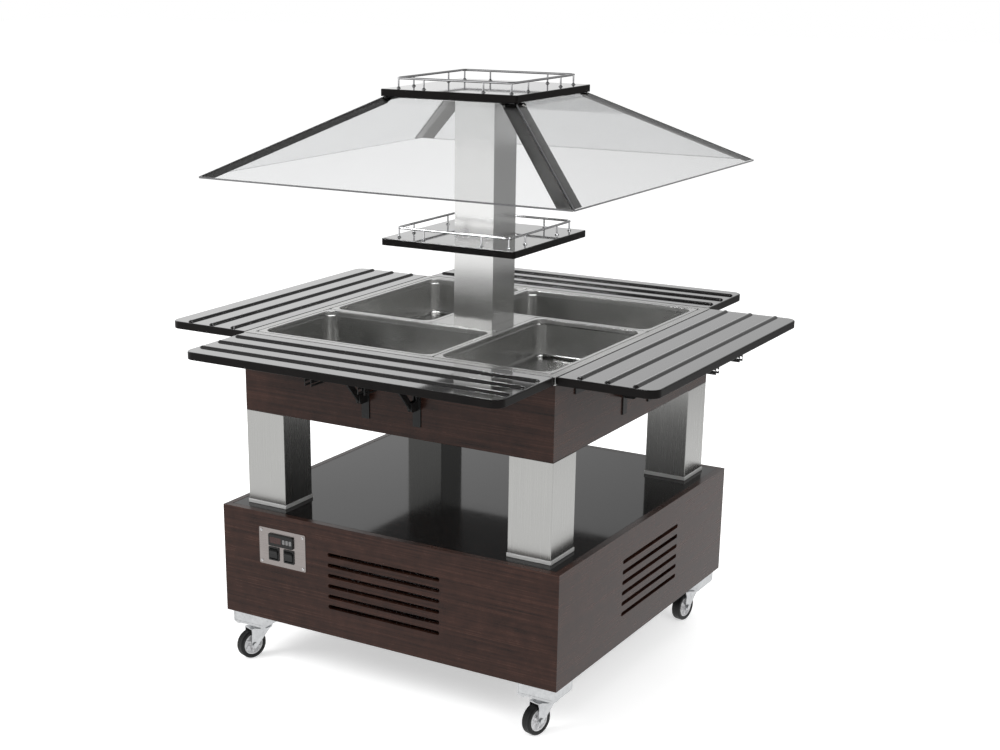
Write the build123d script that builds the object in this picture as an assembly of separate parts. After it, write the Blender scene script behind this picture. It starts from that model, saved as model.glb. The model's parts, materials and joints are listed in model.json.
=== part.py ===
from build123d import *
import math
import os

# Chilled buffet island on castors. The front is the -Y side with the control plate,
# the floor is z = 0 and every size is in millimetres.

# Overall heights
base_bottom = 140
base_top = 440
working_height = 900
mid_shelf_top = 1127
top_shelf_top = 1500

# Base cabinet
base_border = 50
panel_thickness = 18
deck_thickness = 18
fitting_gap = 0.3
frame_sheet = 3
frame_leg = 30
cross_member_width = 40

# Louvres in the base panels
slot_count = 6
slot_length = 336
slot_height = 11
slot_pitch = 28.5
top_slot_height = 362
front_slot_shift = 3
side_slot_shift = 18

# Castors
castor_inset = 62
castor_plate_size = 100
castor_plate_thickness = 3
castor_plate_top = 106
castor_bolt_spacing = 80
castor_bolt_diameter = 8
castor_race_diameter = 60
castor_race_height = 7
castor_trail = 30
wheel_diameter = 80
wheel_width = 25
hub_diameter = 58
hub_rim_width = 21
hub_boss_diameter = 22
axle_diameter = 8
fork_gap = 29
fork_sheet = 3
fork_crown_diameter = 66
fork_crown_clearance = 4
kingpin_diameter = 12
running_clearance = 0.05
castor_headings = {"front_left": -110, "front_right": -105, "back_right": -98, "back_left": -82}

# Posts between the base and the well
post_width = 118
post_wall = 2
post_end_plate = 3
post_foot_width = 122
post_foot_height = 10

# Well
rim_border = 22.5
skirt_height = 20
apron_height = 186
apron_thickness = 10
underside_thickness = 10
well_depth = 177
tub_clearance = 1.5
tank_wall = 1.5
foam_floor = 8
foam_pocket_border = 18
frame_skin = 2
opening_clearance = 1
ledge_drop = 4.3
pan_clearance = 0.3

# Gastronorm pans laid round the centre
pan_length = 530
pan_width = 325
pan_depth = 100
pan_wall = 1
pan_rim = 12
pan_lip = 4
pan_corner = 30
pan_rim_corner = 14
pan_bottom_round = 12
pan_taper = 3
support_width = 20
support_height = 20
cleat_height = 4

# Column and shelves
column_width = 116
column_wall = 2
column_foot = 170
column_collar = 180
column_plate = 3
shelf_width = 390
shelf_thickness = 18
shelf_corner = 6
edge_break = 1

# Gallery rails
rail_inset = 30
rail_height = 25
rail_diameter = 6
rail_post_diameter = 5
rail_corner = 12
rail_post_offset = 85

# Canopy
canopy_half = 520
canopy_rise = 190
canopy_top_inset = 17
canopy_thickness = 5
canopy_gap = 0.7
canopy_top_clearance = 1
hip_bar_width = 60
hip_bar_thickness = 5
hip_bar_setback = 40
hip_tab_length = 60
head_plate_width = 330
head_plate_thickness = 4

# Tray slides
slide_gap = 2
slide_depth = 248
slide_end_inset = 5
slide_thickness = 20
slide_corner = 28
slide_edge_round = 3
rib_count = 3
rib_pitch = 70
rib_first = 50
rib_width = 16
rib_rise = 5
rib_end_inset = 8

# Folding stays under the slides
hinge_out = 26
hinge_drop = 12
hinge_pin_diameter = 6
stay_offset = 75
end_hinge_offset = 320
stay_pivot_drop = 90
stay_reach = 82.4
channel_inner_width = 16
channel_sheet = 2
channel_depth = 8
channel_end = 216
slot_clearance = 0.3
cheek_gap = 6
cheek_sheet = 3
cheek_round = 9
cheek_spine = 9
cheek_bridge = 16
cheek_tail = 52
pin_overhang = 2
plate_set_back = 2
brace_thickness = 5
brace_width = 16
wall_plate_sheet = 3
wall_plate_width = 22
leaf_length = 60
leaf_width = 60
leaf_sheet = 3
knuckle_radius = 7
knuckle_width = 20
ear_width = 6

# Control group on the front panel
plate_left = -382
plate_right = -234
plate_bottom = 299
plate_top = 400
plate_sheet = 1.5
plate_corner = 4
plate_screw_inset = 8
plate_screw_diameter = 3.4
plate_screw_head = 7
plate_screw_rise = 1.8
plate_screw_length = 12
cutout_margin = 12
controller_centre = (-310.5, 371)
controller_width = 78
controller_height = 33
controller_bezel = 5.5
controller_body_width = 70
controller_body_height = 28
controller_body_depth = 56
window_width = 36
window_height = 17
window_shift = -16
window_depth = 1
key_names = ("set", "down", "up")
key_width = 8
key_height = 12
key_thickness = 3
key_pitch = 10.5
key_first_shift = 11
key_rise = 0.8
key_pocket_depth = 4.5
rocker_height = 332
rocker_spacing = 48
rocker_bezel_width = 33
rocker_bezel_height = 37
rocker_bezel = 2.5
rocker_body_width = 28
rocker_body_height = 32
rocker_body_depth = 24
rocker_wall = 1
rocker_cavity_depth = 16
rocker_pivot_depth = 8
rocker_tilt = 7
rocker_front = 12
rocker_back = 4
rocker_pin_diameter = 3

# Condensing unit in the base
compressor_place = (-150, 200)
compressor_radius = 75
compressor_foot = 12
compressor_height = 170
compressor_plate = (200, 130, 3)
compressor_foot_diameter = 24
compressor_foot_inset = 16
seam_flange = 5
seam_thickness = 4
terminal_box = (44, 24, 55)
terminal_box_rise = 40
condenser_width = 300
condenser_depth = 50
condenser_front = 12
condenser_bottom = 192
condenser_height = 190
fin_count = 15
fin_sheet = 1.5
condenser_tube = 9
condenser_tube_rows = 4
shroud_depth = 26
shroud_sheet = 2
condenser_leg = 30
fan_opening = 176
fan_diameter = 168
fan_hub_diameter = 46
fan_hub_length = 18
fan_blades = 5
fan_shaft_diameter = 8
fan_shaft_reach = 20
motor_diameter = 80
motor_length = 55
motor_gap = 4
motor_bar_height = 16
motor_bar_sheet = 3
motor_bar_back = 18
fan_blade_sheet = 2
fan_blade_chord = 44
fan_blade_pitch = 28

# Pipework from the condensing unit up to the tank
tube_diameter = 8
serpentine_rows = (240, 80, -80, -240)
serpentine_half = 330
pipe_bend = 20
discharge_bend = 25
liquid_port_rise = 38
liquid_reach = 103
discharge_port_rise = 70
discharge_reach = 47
suction_height = 300
riser_hole_shift = 9
riser_hole_diameter = 80
liquid_riser_shift = (29, 25)
suction_riser_shift = (5, 19)

# Drain
drain_shift = 5
drain_diameter = 22
drain_bore = 18
drain_bend = 20
drain_valve_height = 305
drain_valve_size = 34
drain_lever_length = 49
drain_lever_size = (6, 12)
drain_stem_length = 12
drain_stem_size = 8
drain_offset = 66
drain_elbow_height = 240
drain_outlet_bottom = 128

# Electric box and cord gland
electric_box_gap = 41.7
electric_box_front = -150
electric_box_size = (150, 190, 110)
electric_box_wall = 2
gland_place = (300, 190)
gland_hole = 20
gland_flange = 30
gland_flange_thickness = 6
gland_bore = 9

pitch_half = (pan_length + pan_width) / 2
apron_half = pitch_half + rim_border
base_half = apron_half + base_border
panel_inner = base_half - panel_thickness
frame_half = panel_inner - fitting_gap
apron_inner = apron_half - apron_thickness
apron_top = working_height - skirt_height
apron_bottom = apron_top - apron_height
post_centre = apron_half - post_width / 2
castor_centre = base_half - castor_inset
ledge_top = working_height - ledge_drop
tank_half = pitch_half - pan_rim + pan_wall + tub_clearance
tank_floor = working_height - well_depth
foam_pocket_half = tank_half - foam_pocket_border
cover_half = pitch_half - pan_width
opening_half = pitch_half + opening_clearance
slide_inner_edge = apron_half + slide_gap
slide_outer_edge = slide_inner_edge + slide_depth
slide_length = 2 * (apron_half - slide_end_inset)
slide_bottom = working_height - slide_thickness
hinge_radius = apron_half + hinge_out
hinge_height = slide_bottom - hinge_drop
wheel_radius = wheel_diameter / 2
shelf_bottom = top_shelf_top - shelf_thickness
head_plate_bottom = shelf_bottom - head_plate_thickness
rail_half = shelf_width / 2 - rail_inset
canopy_rim_height = shelf_bottom - canopy_rise
canopy_top_half = shelf_width / 2 - canopy_top_inset
riser_hole_centre = (-post_centre + riser_hole_shift, post_centre - riser_hole_shift)
riser_liquid = (-post_centre + liquid_riser_shift[0], post_centre - liquid_riser_shift[1])
riser_suction = (-post_centre + suction_riser_shift[0], post_centre - suction_riser_shift[1])
drain_place = (-post_centre - drain_shift, post_centre + drain_shift)
drain_outlet_x = drain_place[0] + drain_offset
electric_box_corner = (electric_box_gap - frame_half, electric_box_front)
side_angles = {"front": 0, "right": 90, "back": 180, "left": 270}
corner_signs = {"front_left": (-1, -1), "front_right": (1, -1), "back_right": (1, 1), "back_left": (-1, 1)}


def slab(x_range, y_range, z_range):
    """Block between two values on each axis."""
    size = [high - low for low, high in (x_range, y_range, z_range)]
    middle = [(high + low) / 2 for low, high in (x_range, y_range, z_range)]
    return Pos(*middle) * Box(*size)


def square_slab(half, z_low, z_high):
    """Square block round the centre axis."""
    return slab((-half, half), (-half, half), (z_low, z_high))


def square_ring(outer_half, inner_half, z_low, z_high):
    """Square frame round the centre axis, open in the middle."""
    return square_slab(outer_half, z_low, z_high) - square_slab(inner_half, z_low - 1, z_high + 1)


def upright_cylinder(place, diameter, z_low, z_high):
    """Round bar or hole standing on Z."""
    return Pos(place[0], place[1], (z_low + z_high) / 2) * Cylinder(diameter / 2, z_high - z_low)


def turned(shape, side):
    """A shape drawn for the front, carried round to another side."""
    return Rot(0, 0, side_angles[side]) * shape


def front_plane(x, y, z):
    """Plane facing the front, with X to the right and Z up."""
    return Plane(origin=(x, y, z), x_dir=(1, 0, 0), z_dir=(0, -1, 0))


def hinge_plane(x):
    """Plane across the hinge line of the front slide: first axis outward, second axis up."""
    return Plane(origin=(x, -hinge_radius, hinge_height), x_dir=(0, -1, 0), z_dir=(-1, 0, 0))


def cross_piece(x, sketch, thickness):
    """Plate lying across the hinge line at x, drawn as outward and up from the hinge axis."""
    return extrude(hinge_plane(x) * sketch, amount=thickness / 2, both=True)


def hinge_bar(x, out, up, diameter, length):
    """Round bar along the hinge direction of the front slide."""
    return Pos(x, -hinge_radius - out, hinge_height + up) * Rot(0, 90, 0) * Cylinder(diameter / 2, length)


def rect(u_range, v_range):
    """Rectangle between two values on each sketch axis."""
    u_mid = (u_range[0] + u_range[1]) / 2
    v_mid = (v_range[0] + v_range[1]) / 2
    return Pos(u_mid, v_mid) * Rectangle(u_range[1] - u_range[0], v_range[1] - v_range[0])


def riser_hole(z_low, z_high):
    """Passage for the pipes and the drain through one level of the back left post."""
    return upright_cylinder(riser_hole_centre, riser_hole_diameter, z_low, z_high)


def angle_section(z_low, z_high, corner):
    """Folded steel upright in one corner of the base frame."""
    sx, sy = corner_signs[corner]
    reach = frame_half - frame_leg
    skin = frame_half - frame_sheet
    block_x = sorted((sx * reach, sx * frame_half))
    block_y = sorted((sy * reach, sy * frame_half))
    core_x = sorted((sx * (reach - 1), sx * skin))
    core_y = sorted((sy * (reach - 1), sy * skin))
    return slab(block_x, block_y, (z_low, z_high)) - slab(core_x, core_y, (z_low - 1, z_high + 1))


def bolt_places(corner):
    """Four bolt places of one castor plate."""
    sx, sy = corner_signs[corner]
    half = castor_bolt_spacing / 2
    return [(sx * castor_centre + i * half, sy * castor_centre + j * half) for i in (-1, 1) for j in (-1, 1)]


def castor_carrier(corner):
    """Folded spacer under the floor tray that carries one castor."""
    sx, sy = corner_signs[corner]
    half = castor_plate_size / 2
    x, y = sx * castor_centre, sy * castor_centre
    block = slab((x - half, x + half), (y - half, y + half), (castor_plate_top, base_bottom))
    inside = half - frame_sheet
    core = slab((x - inside, x + inside), (y - half - 1, y + half + 1),
                (castor_plate_top + frame_sheet, base_bottom))
    for place in bolt_places(corner):
        block -= upright_cylinder(place, castor_bolt_diameter, castor_plate_top - 1,
                                  castor_plate_top + frame_sheet + 1)
    return block - core


def base_frame():
    """Floor tray, uprights, upper ledge, cross members and castor carriers, welded together."""
    deck_bottom = base_top - deck_thickness
    skin = frame_half - frame_sheet
    frame = square_slab(frame_half, base_bottom, base_bottom + frame_sheet)
    frame += square_ring(frame_half, skin, base_bottom, base_bottom + frame_leg)
    frame += square_ring(frame_half, frame_half - frame_leg, deck_bottom - frame_sheet, deck_bottom)
    frame += square_ring(frame_half, skin, deck_bottom - frame_leg, deck_bottom)
    for corner in corner_signs:
        frame += angle_section(base_bottom, deck_bottom, corner)
    for sign in (-1, 1):
        low = sign * post_centre - cross_member_width / 2
        high = sign * post_centre + cross_member_width / 2
        member = slab((-skin, skin), (low, high), (deck_bottom - frame_leg, deck_bottom - frame_sheet))
        member -= slab((-skin - 1, skin + 1), (low + frame_sheet, high - frame_sheet),
                       (deck_bottom - frame_leg - 1, deck_bottom - 2 * frame_sheet))
        frame += member
    frame -= riser_hole(deck_bottom - frame_leg - 1, deck_bottom + 1)
    frame -= upright_cylinder((drain_outlet_x, drain_place[1]), drain_diameter + 1,
                              base_bottom - 1, base_bottom + frame_sheet + 1)
    return [frame] + [castor_carrier(corner) for corner in corner_signs]


def plain_panel():
    """Front panel blank with mitred ends."""
    outline = Polygon((-base_half, -base_half), (base_half, -base_half),
                      (panel_inner, -panel_inner), (-panel_inner, -panel_inner), align=None)
    return extrude(Pos(0, 0, base_bottom) * outline, amount=base_top - base_bottom)


def louvre_cut(shift):
    """Six slots through the front panel."""
    cut = []
    for row in range(slot_count):
        z = top_slot_height - row * slot_pitch
        slot = front_plane(shift, -base_half, z) * SlotOverall(slot_length, slot_height)
        cut.append(extrude(slot, amount=-panel_thickness))
    return cut


def control_screw_places():
    """Centres of the four plate screws on the front face."""
    return [(x, z) for x in (plate_left + plate_screw_inset, plate_right - plate_screw_inset)
            for z in (plate_bottom + plate_screw_inset, plate_top - plate_screw_inset)]


def front_bar(x, z, diameter, y_low, y_high):
    """Round bar or hole along Y at a place on the front face."""
    return Pos(x, (y_low + y_high) / 2, z) * Rot(90, 0, 0) * Cylinder(diameter / 2, y_high - y_low)


def panel_front():
    """Front panel with louvres, the opening behind the control plate and its screw holes."""
    panel = plain_panel() - louvre_cut(front_slot_shift)
    panel -= slab((plate_left + cutout_margin, plate_right - cutout_margin),
                  (-base_half - 1, -panel_inner + 1),
                  (plate_bottom + cutout_margin, plate_top - cutout_margin))
    hole_end = -base_half + plate_screw_length - plate_sheet
    for x, z in control_screw_places():
        panel -= front_bar(x, z, plate_screw_diameter, -base_half - 1, hole_end)
    return [panel]


def panel_right():
    """Right panel with the same louvres."""
    return [turned(plain_panel() - louvre_cut(side_slot_shift), "right")]


def panel_back():
    """Back panel with louvres and the hole of the cord gland."""
    panel = plain_panel() - louvre_cut(front_slot_shift)
    panel -= front_bar(gland_place[0], gland_place[1], gland_hole, -base_half - 1, -panel_inner + 1)
    return [turned(panel, "back")]


def panel_left():
    """Closed left panel."""
    return [turned(plain_panel(), "left")]


def deck():
    """Black board let in flush between the base panels."""
    board = square_slab(frame_half, base_top - deck_thickness, base_top)
    return [board - riser_hole(base_top - deck_thickness - 1, base_top + 1)]


def posts():
    """Four square posts of folded steel with welded end plates and a thicker foot collar."""
    result = []
    half = post_width / 2
    core = half - post_wall
    foot = post_foot_width / 2
    for corner, (sx, sy) in corner_signs.items():
        x, y = sx * post_centre, sy * post_centre
        post = slab((x - half, x + half), (y - half, y + half), (base_top, apron_bottom))
        post += slab((x - foot, x + foot), (y - foot, y + foot), (base_top, base_top + post_foot_height))
        post -= slab((x - core, x + core), (y - core, y + core),
                     (base_top + post_end_plate, apron_bottom - post_end_plate))
        if corner == "back_left":
            post -= riser_hole(base_top - 1, apron_bottom + 1)
        result.append(post)
    return result


def well_tank():
    """Welded steel tank with its top flange and the cleats that carry the support bars."""
    outer = tank_half + tank_wall
    flange_top = ledge_top - frame_skin - fitting_gap
    tank = square_slab(outer, tank_floor - tank_wall, flange_top)
    tank += square_ring(apron_inner - 10, tank_half, flange_top - tank_wall, flange_top)
    tank -= square_slab(tank_half, tank_floor, flange_top + 1)
    tank -= upright_cylinder(drain_place, drain_bore, tank_floor - 5, tank_floor + 1)
    cleat_top = ledge_top - support_height
    for side in side_angles:
        cleat = slab((cover_half - support_width / 2, cover_half + support_width / 2),
                     (-tank_half, -tank_half + 12), (cleat_top - cleat_height, cleat_top))
        tank += turned(cleat, side)
    return [tank]


def insulation():
    """Foam round and under the tank, with a shallow pocket for the evaporator tube."""
    bottom = apron_bottom + underside_thickness
    inner = tank_half + tank_wall + fitting_gap
    foam = square_ring(apron_inner - fitting_gap, inner, bottom, apron_top)
    foam += square_slab(inner + 1, bottom, tank_floor - tank_wall - fitting_gap)
    foam -= square_slab(foam_pocket_half, bottom + foam_floor, apron_top)
    return [foam - riser_hole(bottom - 1, tank_floor)]


def apron_panels():
    """Four apron panels with mitred corners and the underside panel between them."""
    outline = Polygon((-apron_half, -apron_half), (apron_half, -apron_half),
                      (apron_inner, -apron_inner), (-apron_inner, -apron_inner), align=None)
    panel = extrude(Pos(0, 0, apron_bottom) * outline, amount=apron_top - apron_bottom)
    underside = square_slab(apron_inner, apron_bottom, apron_bottom + underside_thickness)
    underside -= riser_hole(apron_bottom - 1, apron_bottom + underside_thickness + 1)
    return [turned(panel, side) for side in side_angles] + [underside]


def top_frame():
    """Folded steel rim of the well: outer skirt, top face and the ledge that carries the pans."""
    skirt = square_ring(apron_half, apron_half - frame_skin, apron_top, working_height)
    face = square_ring(apron_half, opening_half, working_height - frame_skin, working_height)
    riser = square_ring(opening_half + frame_skin, opening_half, ledge_top - frame_skin, working_height)
    ledge = square_ring(opening_half + frame_skin, tank_half, ledge_top - frame_skin, ledge_top)
    return [skirt + face + riser + ledge]


def pan_supports():
    """Cross of bars under the joints between the pans, with a square frame round the column."""
    outer = cover_half + support_width / 2
    cross = square_ring(outer, outer - support_width, ledge_top - support_height, ledge_top)
    bar = slab((outer - support_width, outer), (-tank_half + fitting_gap, -outer + support_width),
               (ledge_top - support_height, ledge_top))
    for side in side_angles:
        cross += turned(bar, side)
    return [cross]


def front_pan():
    """Gastronorm pan of the front place: flat rim with a turned lip over a tapered tub."""
    z = working_height
    rim_size = (pan_length - 2 * pan_clearance, pan_width - 2 * pan_clearance)
    top_size = (pan_length - 2 * pan_rim, pan_width - 2 * pan_rim)
    rim = RectangleRounded(rim_size[0], rim_size[1], pan_rim_corner)
    lip_core = offset(rim, -pan_wall)
    flange = extrude(Pos(0, 0, z - pan_lip) * (rim - lip_core), amount=pan_lip)
    flange += extrude(Pos(0, 0, z - pan_wall) * rim, amount=pan_wall)
    mouth = RectangleRounded(top_size[0], top_size[1], pan_corner)
    skin = RectangleRounded(top_size[0] + 2 * pan_wall, top_size[1] + 2 * pan_wall, pan_corner + pan_wall)
    tub = extrude(Pos(0, 0, z) * skin, amount=-pan_depth, taper=pan_taper)
    hollow = extrude(Pos(0, 0, z) * mouth, amount=-(pan_depth - pan_wall), taper=pan_taper)
    tub = fillet(tub.faces().sort_by(Axis.Z)[0].edges(), pan_bottom_round + pan_wall)
    hollow = fillet(hollow.faces().sort_by(Axis.Z)[0].edges(), pan_bottom_round)
    x = -pitch_half + pan_length / 2
    y = -pitch_half + pan_width / 2
    return Pos(x, y, 0) * (flange + tub - hollow)


def column():
    """Square column closed at the top, its foot in the tank and the collar under the middle shelf."""
    half = column_width / 2
    core = half - column_wall
    shaft_bottom = tank_floor + column_plate
    shaft = square_slab(half, shaft_bottom, head_plate_bottom)
    shaft -= square_slab(core, shaft_bottom, head_plate_bottom - column_plate)
    foot = square_slab(column_foot / 2, tank_floor, shaft_bottom)
    collar_top = mid_shelf_top - shelf_thickness
    collar = square_ring(column_collar / 2, half, collar_top - column_plate, collar_top)
    return [shaft, foot, collar]


def centre_cover():
    """Steel cover between the four pans, round the column."""
    half = cover_half - 2 * pan_clearance
    plate = square_ring(half, column_width / 2 + fitting_gap, working_height - frame_skin, working_height)
    plate += square_ring(half, half - pan_wall, ledge_top, working_height)
    return [plate]


def shelf_board(top):
    """Black board with eased edges."""
    outline = RectangleRounded(shelf_width, shelf_width, shelf_corner)
    board = extrude(Pos(0, 0, top - shelf_thickness) * outline, amount=shelf_thickness)
    return chamfer(board.faces().sort_by(Axis.Z)[-1].edges(), edge_break)


def mid_shelf():
    """Middle shelf, cut out round the column."""
    hole = square_slab(column_width / 2 + fitting_gap, mid_shelf_top - shelf_thickness - 1, mid_shelf_top + 1)
    return [shelf_board(mid_shelf_top) - hole]


def top_shelf():
    """Closed shelf on top of the canopy."""
    return [shelf_board(top_shelf_top)]


def gallery_rail(top):
    """Wire rail on twelve short posts."""
    h = rail_half
    z = top + rail_height
    path = (Pos(0, 0, z) * RectangleRounded(2 * h, 2 * h, rail_corner)).face().outer_wire()
    section = Plane(origin=path @ 0, z_dir=path % 0) * Circle(rail_diameter / 2)
    rail = sweep(section, path=path)
    corner = h - rail_corner * (1 - math.cos(math.radians(45)))
    places = [(i * corner, j * corner) for i in (-1, 1) for j in (-1, 1)]
    for i in (-1, 1):
        for j in (-1, 1):
            places.append((i * rail_post_offset, j * h))
            places.append((i * h, j * rail_post_offset))
    for place in places:
        rail += upright_cylinder(place, rail_post_diameter, top, z)
    return rail


def gallery_rails():
    """Rails of both shelves."""
    return [gallery_rail(mid_shelf_top), gallery_rail(top_shelf_top)]


canopy_run = canopy_half - canopy_top_half
canopy_slope = math.atan2(canopy_rise, canopy_run)


def canopy_panels():
    """Four clear trapezoid panels, the underside of each on its own sloping plane."""
    plane = Plane(origin=(0, -canopy_half, canopy_rim_height), x_dir=(1, 0, 0),
                  z_dir=(0, -math.sin(canopy_slope), math.cos(canopy_slope)))
    rise_left = canopy_rise - canopy_top_clearance - canopy_thickness * math.cos(canopy_slope)
    length = rise_left / math.sin(canopy_slope)
    low = canopy_half - canopy_gap
    high = low - length * math.cos(canopy_slope)
    outline = Polygon((-low, 0), (low, 0), (high, length), (-high, length), align=None)
    panel = extrude(plane * outline, amount=canopy_thickness)
    return [turned(panel, side) for side in side_angles]


def hip_bar():
    """Flat bar under the front right hip, with a level tab under the head plate."""
    hip_slope = math.atan2(canopy_rise, canopy_run * math.sqrt(2))
    sag = hip_bar_width / 2 * math.sqrt(0.5) * math.tan(canopy_slope) + fitting_gap
    rim = canopy_half * math.sqrt(2)
    start = rim - hip_bar_setback
    start_top = canopy_rim_height + hip_bar_setback * math.tan(hip_slope) - sag
    bend_top = head_plate_bottom
    bend = start - (bend_top - start_top) / math.tan(hip_slope)
    t = hip_bar_thickness
    half_turn = math.tan(hip_slope / 2)
    outline = Polygon((start, start_top), (bend, bend_top), (bend - hip_tab_length, bend_top),
                      (bend - hip_tab_length, bend_top - t), (bend - t * half_turn, bend_top - t),
                      (start, start_top - t / math.cos(hip_slope)), align=None)
    bar = extrude(Plane.XZ * outline, amount=hip_bar_width / 2, both=True)
    return Rot(0, 0, -45) * bar


def hip_bars():
    """Head plate on the column and the four bars under the canopy hips."""
    plate = square_slab(head_plate_width / 2, head_plate_bottom, shelf_bottom)
    return [plate] + [turned(hip_bar(), side) for side in side_angles]


def tray_runner(y):
    """Raised runner along a slide: a bar with ball ends, sunk until its crest stands at the rib rise."""
    radius = (rib_width ** 2 / 4 + rib_rise ** 2) / (2 * rib_rise)
    centre = working_height + rib_rise - radius
    reach = slide_length / 2 - rib_end_inset - rib_width / 2
    runner = Pos(0, y, centre) * Rot(0, 90, 0) * Cylinder(radius, 2 * reach)
    for sign in (-1, 1):
        runner += Pos(sign * reach, y, centre) * Sphere(radius)
    return runner


def slide_board():
    """Front tray slide: black board with two rounded corners and raised runners along it."""
    board = slab((-slide_length / 2, slide_length / 2), (-slide_outer_edge, -slide_inner_edge),
                 (slide_bottom, working_height))
    corners = board.edges().filter_by(Axis.Z).sort_by(Axis.Y)[:2]
    board = fillet(corners, slide_corner)
    board = fillet(board.faces().sort_by(Axis.Z)[-1].edges(), slide_edge_round)
    board = chamfer(board.faces().sort_by(Axis.Z)[0].edges(), edge_break)
    for row in range(rib_count):
        board += tray_runner(-slide_inner_edge - rib_first - row * rib_pitch)
    return board


def channel_arm(x):
    """Folded channel under the slide, open downward, with the slots of the brace pin."""
    half = channel_inner_width / 2
    under = hinge_drop
    end_round = cheek_round
    web = rect((0, channel_end), (-channel_depth, under)) + Circle(end_round)
    web -= rect((-end_round, channel_end), (under, under + end_round))
    folded = math.sqrt(stay_reach ** 2 + stay_pivot_drop ** 2) + stay_pivot_drop
    slot_width = hinge_pin_diameter + 2 * slot_clearance
    middle = (stay_reach + folded) / 2
    web -= Pos(middle, 0) * SlotOverall(folded - stay_reach + slot_width, slot_width)
    web -= Circle(hinge_pin_diameter / 2 + running_clearance)
    arm = cross_piece(x, rect((-end_round + 2, channel_end), (under - channel_sheet, under)),
                      channel_inner_width + 2 * channel_sheet)
    for sign in (-1, 1):
        arm += cross_piece(x + sign * (half + channel_sheet / 2), web, channel_sheet)
    return arm


def hinge_leaf(x):
    """Leaf of an end hinge under the slide, with two ears round the pin."""
    plate = rect((-knuckle_radius, leaf_length), (hinge_drop - leaf_sheet, hinge_drop))
    leaf = cross_piece(x, plate, leaf_width)
    ear = Circle(knuckle_radius) + rect((-knuckle_radius, knuckle_radius), (0, hinge_drop - leaf_sheet))
    ear -= Circle(hinge_pin_diameter / 2 + running_clearance)
    offset = knuckle_width / 2 + fitting_gap + ear_width / 2
    for sign in (-1, 1):
        leaf += cross_piece(x + sign * offset, ear, ear_width)
    return leaf


def slide_arms():
    """Two channel arms and two end hinge leaves of the front slide."""
    arms = [channel_arm(sign * stay_offset) for sign in (-1, 1)]
    return arms + [hinge_leaf(sign * end_hinge_offset) for sign in (-1, 1)]


def slide_brace(x):
    """Brace from the lower pivot of the wall bracket up to the pin in the channel."""
    length = math.hypot(stay_reach, stay_pivot_drop)
    angle = math.degrees(math.atan2(stay_pivot_drop, stay_reach))
    bar = Pos(length / 2, 0) * SlotOverall(length + brace_width, brace_width)
    bar -= Circle(hinge_pin_diameter / 2 + running_clearance)
    brace = cross_piece(x, Pos(0, -stay_pivot_drop) * Rot(0, 0, angle) * bar, brace_thickness)
    pin_length = channel_inner_width - 2 * slot_clearance
    return brace + hinge_bar(x, stay_reach, 0, hinge_pin_diameter, pin_length)


def slide_braces():
    """Both braces of the front slide."""
    return [slide_brace(sign * stay_offset) for sign in (-1, 1)]


def stay_bracket(x):
    """Wall bracket of one stay: wall plate, two cheeks, hinge pin and lower pivot pin."""
    wall = -hinge_out
    skin = wall + wall_plate_sheet
    low = -stay_pivot_drop - cheek_tail
    cheek = rect((wall, 0), (-cheek_round, cheek_round)) + Circle(cheek_round)
    window = rect((skin + cheek_spine, cheek_round), (-stay_pivot_drop + cheek_bridge, -cheek_bridge))
    cheek += rect((wall, cheek_round), (-stay_pivot_drop, 0)) - window
    cheek += rect((wall, 0), (-stay_pivot_drop - cheek_round, -stay_pivot_drop))
    cheek += Pos(0, -stay_pivot_drop) * Circle(cheek_round)
    bracket = cross_piece(x, rect((wall, skin), (low, hinge_drop - plate_set_back)), wall_plate_width)
    for sign in (-1, 1):
        bracket += cross_piece(x + sign * (cheek_gap / 2 + cheek_sheet / 2), cheek, cheek_sheet)
    pin_length = channel_inner_width + 2 * (channel_sheet + pin_overhang)
    bracket += hinge_bar(x, 0, 0, hinge_pin_diameter, pin_length)
    return bracket + hinge_bar(x, 0, -stay_pivot_drop, hinge_pin_diameter, cheek_gap + 2 * cheek_sheet + 1)


def end_bracket(x):
    """Wall half of an end hinge with its middle knuckle and pin."""
    wall = -hinge_out
    skin = wall + wall_plate_sheet
    plate = cross_piece(x, rect((wall, skin), (-leaf_length / 2, hinge_drop - plate_set_back)), leaf_width)
    arm = rect((wall, 0), (-knuckle_radius, knuckle_radius)) + Circle(knuckle_radius)
    pin_length = knuckle_width + 2 * (ear_width + pin_overhang)
    return plate + cross_piece(x, arm, knuckle_width) + hinge_bar(x, 0, 0, hinge_pin_diameter, pin_length)


def slide_brackets():
    """Wall brackets and hinge pins of all four slides on the apron."""
    front = [stay_bracket(sign * stay_offset) for sign in (-1, 1)]
    front += [end_bracket(sign * end_hinge_offset) for sign in (-1, 1)]
    return [turned(bracket, side) for side in side_angles for bracket in front]


def at_castor(shape, corner):
    """A castor piece drawn round the swivel axis with its trail along +X, put at its corner."""
    sx, sy = corner_signs[corner]
    return Pos(sx * castor_centre, sy * castor_centre, 0) * Rot(0, 0, castor_headings[corner]) * shape


def axle_bar(diameter, length):
    """Round bar on the wheel axis."""
    return Pos(castor_trail, 0, wheel_radius) * Rot(90, 0, 0) * Cylinder(diameter / 2, length)


crown_bottom = wheel_diameter + fork_crown_clearance
crown_top = crown_bottom + fork_sheet
race_bottom = castor_plate_top - castor_plate_thickness - castor_race_height


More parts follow.
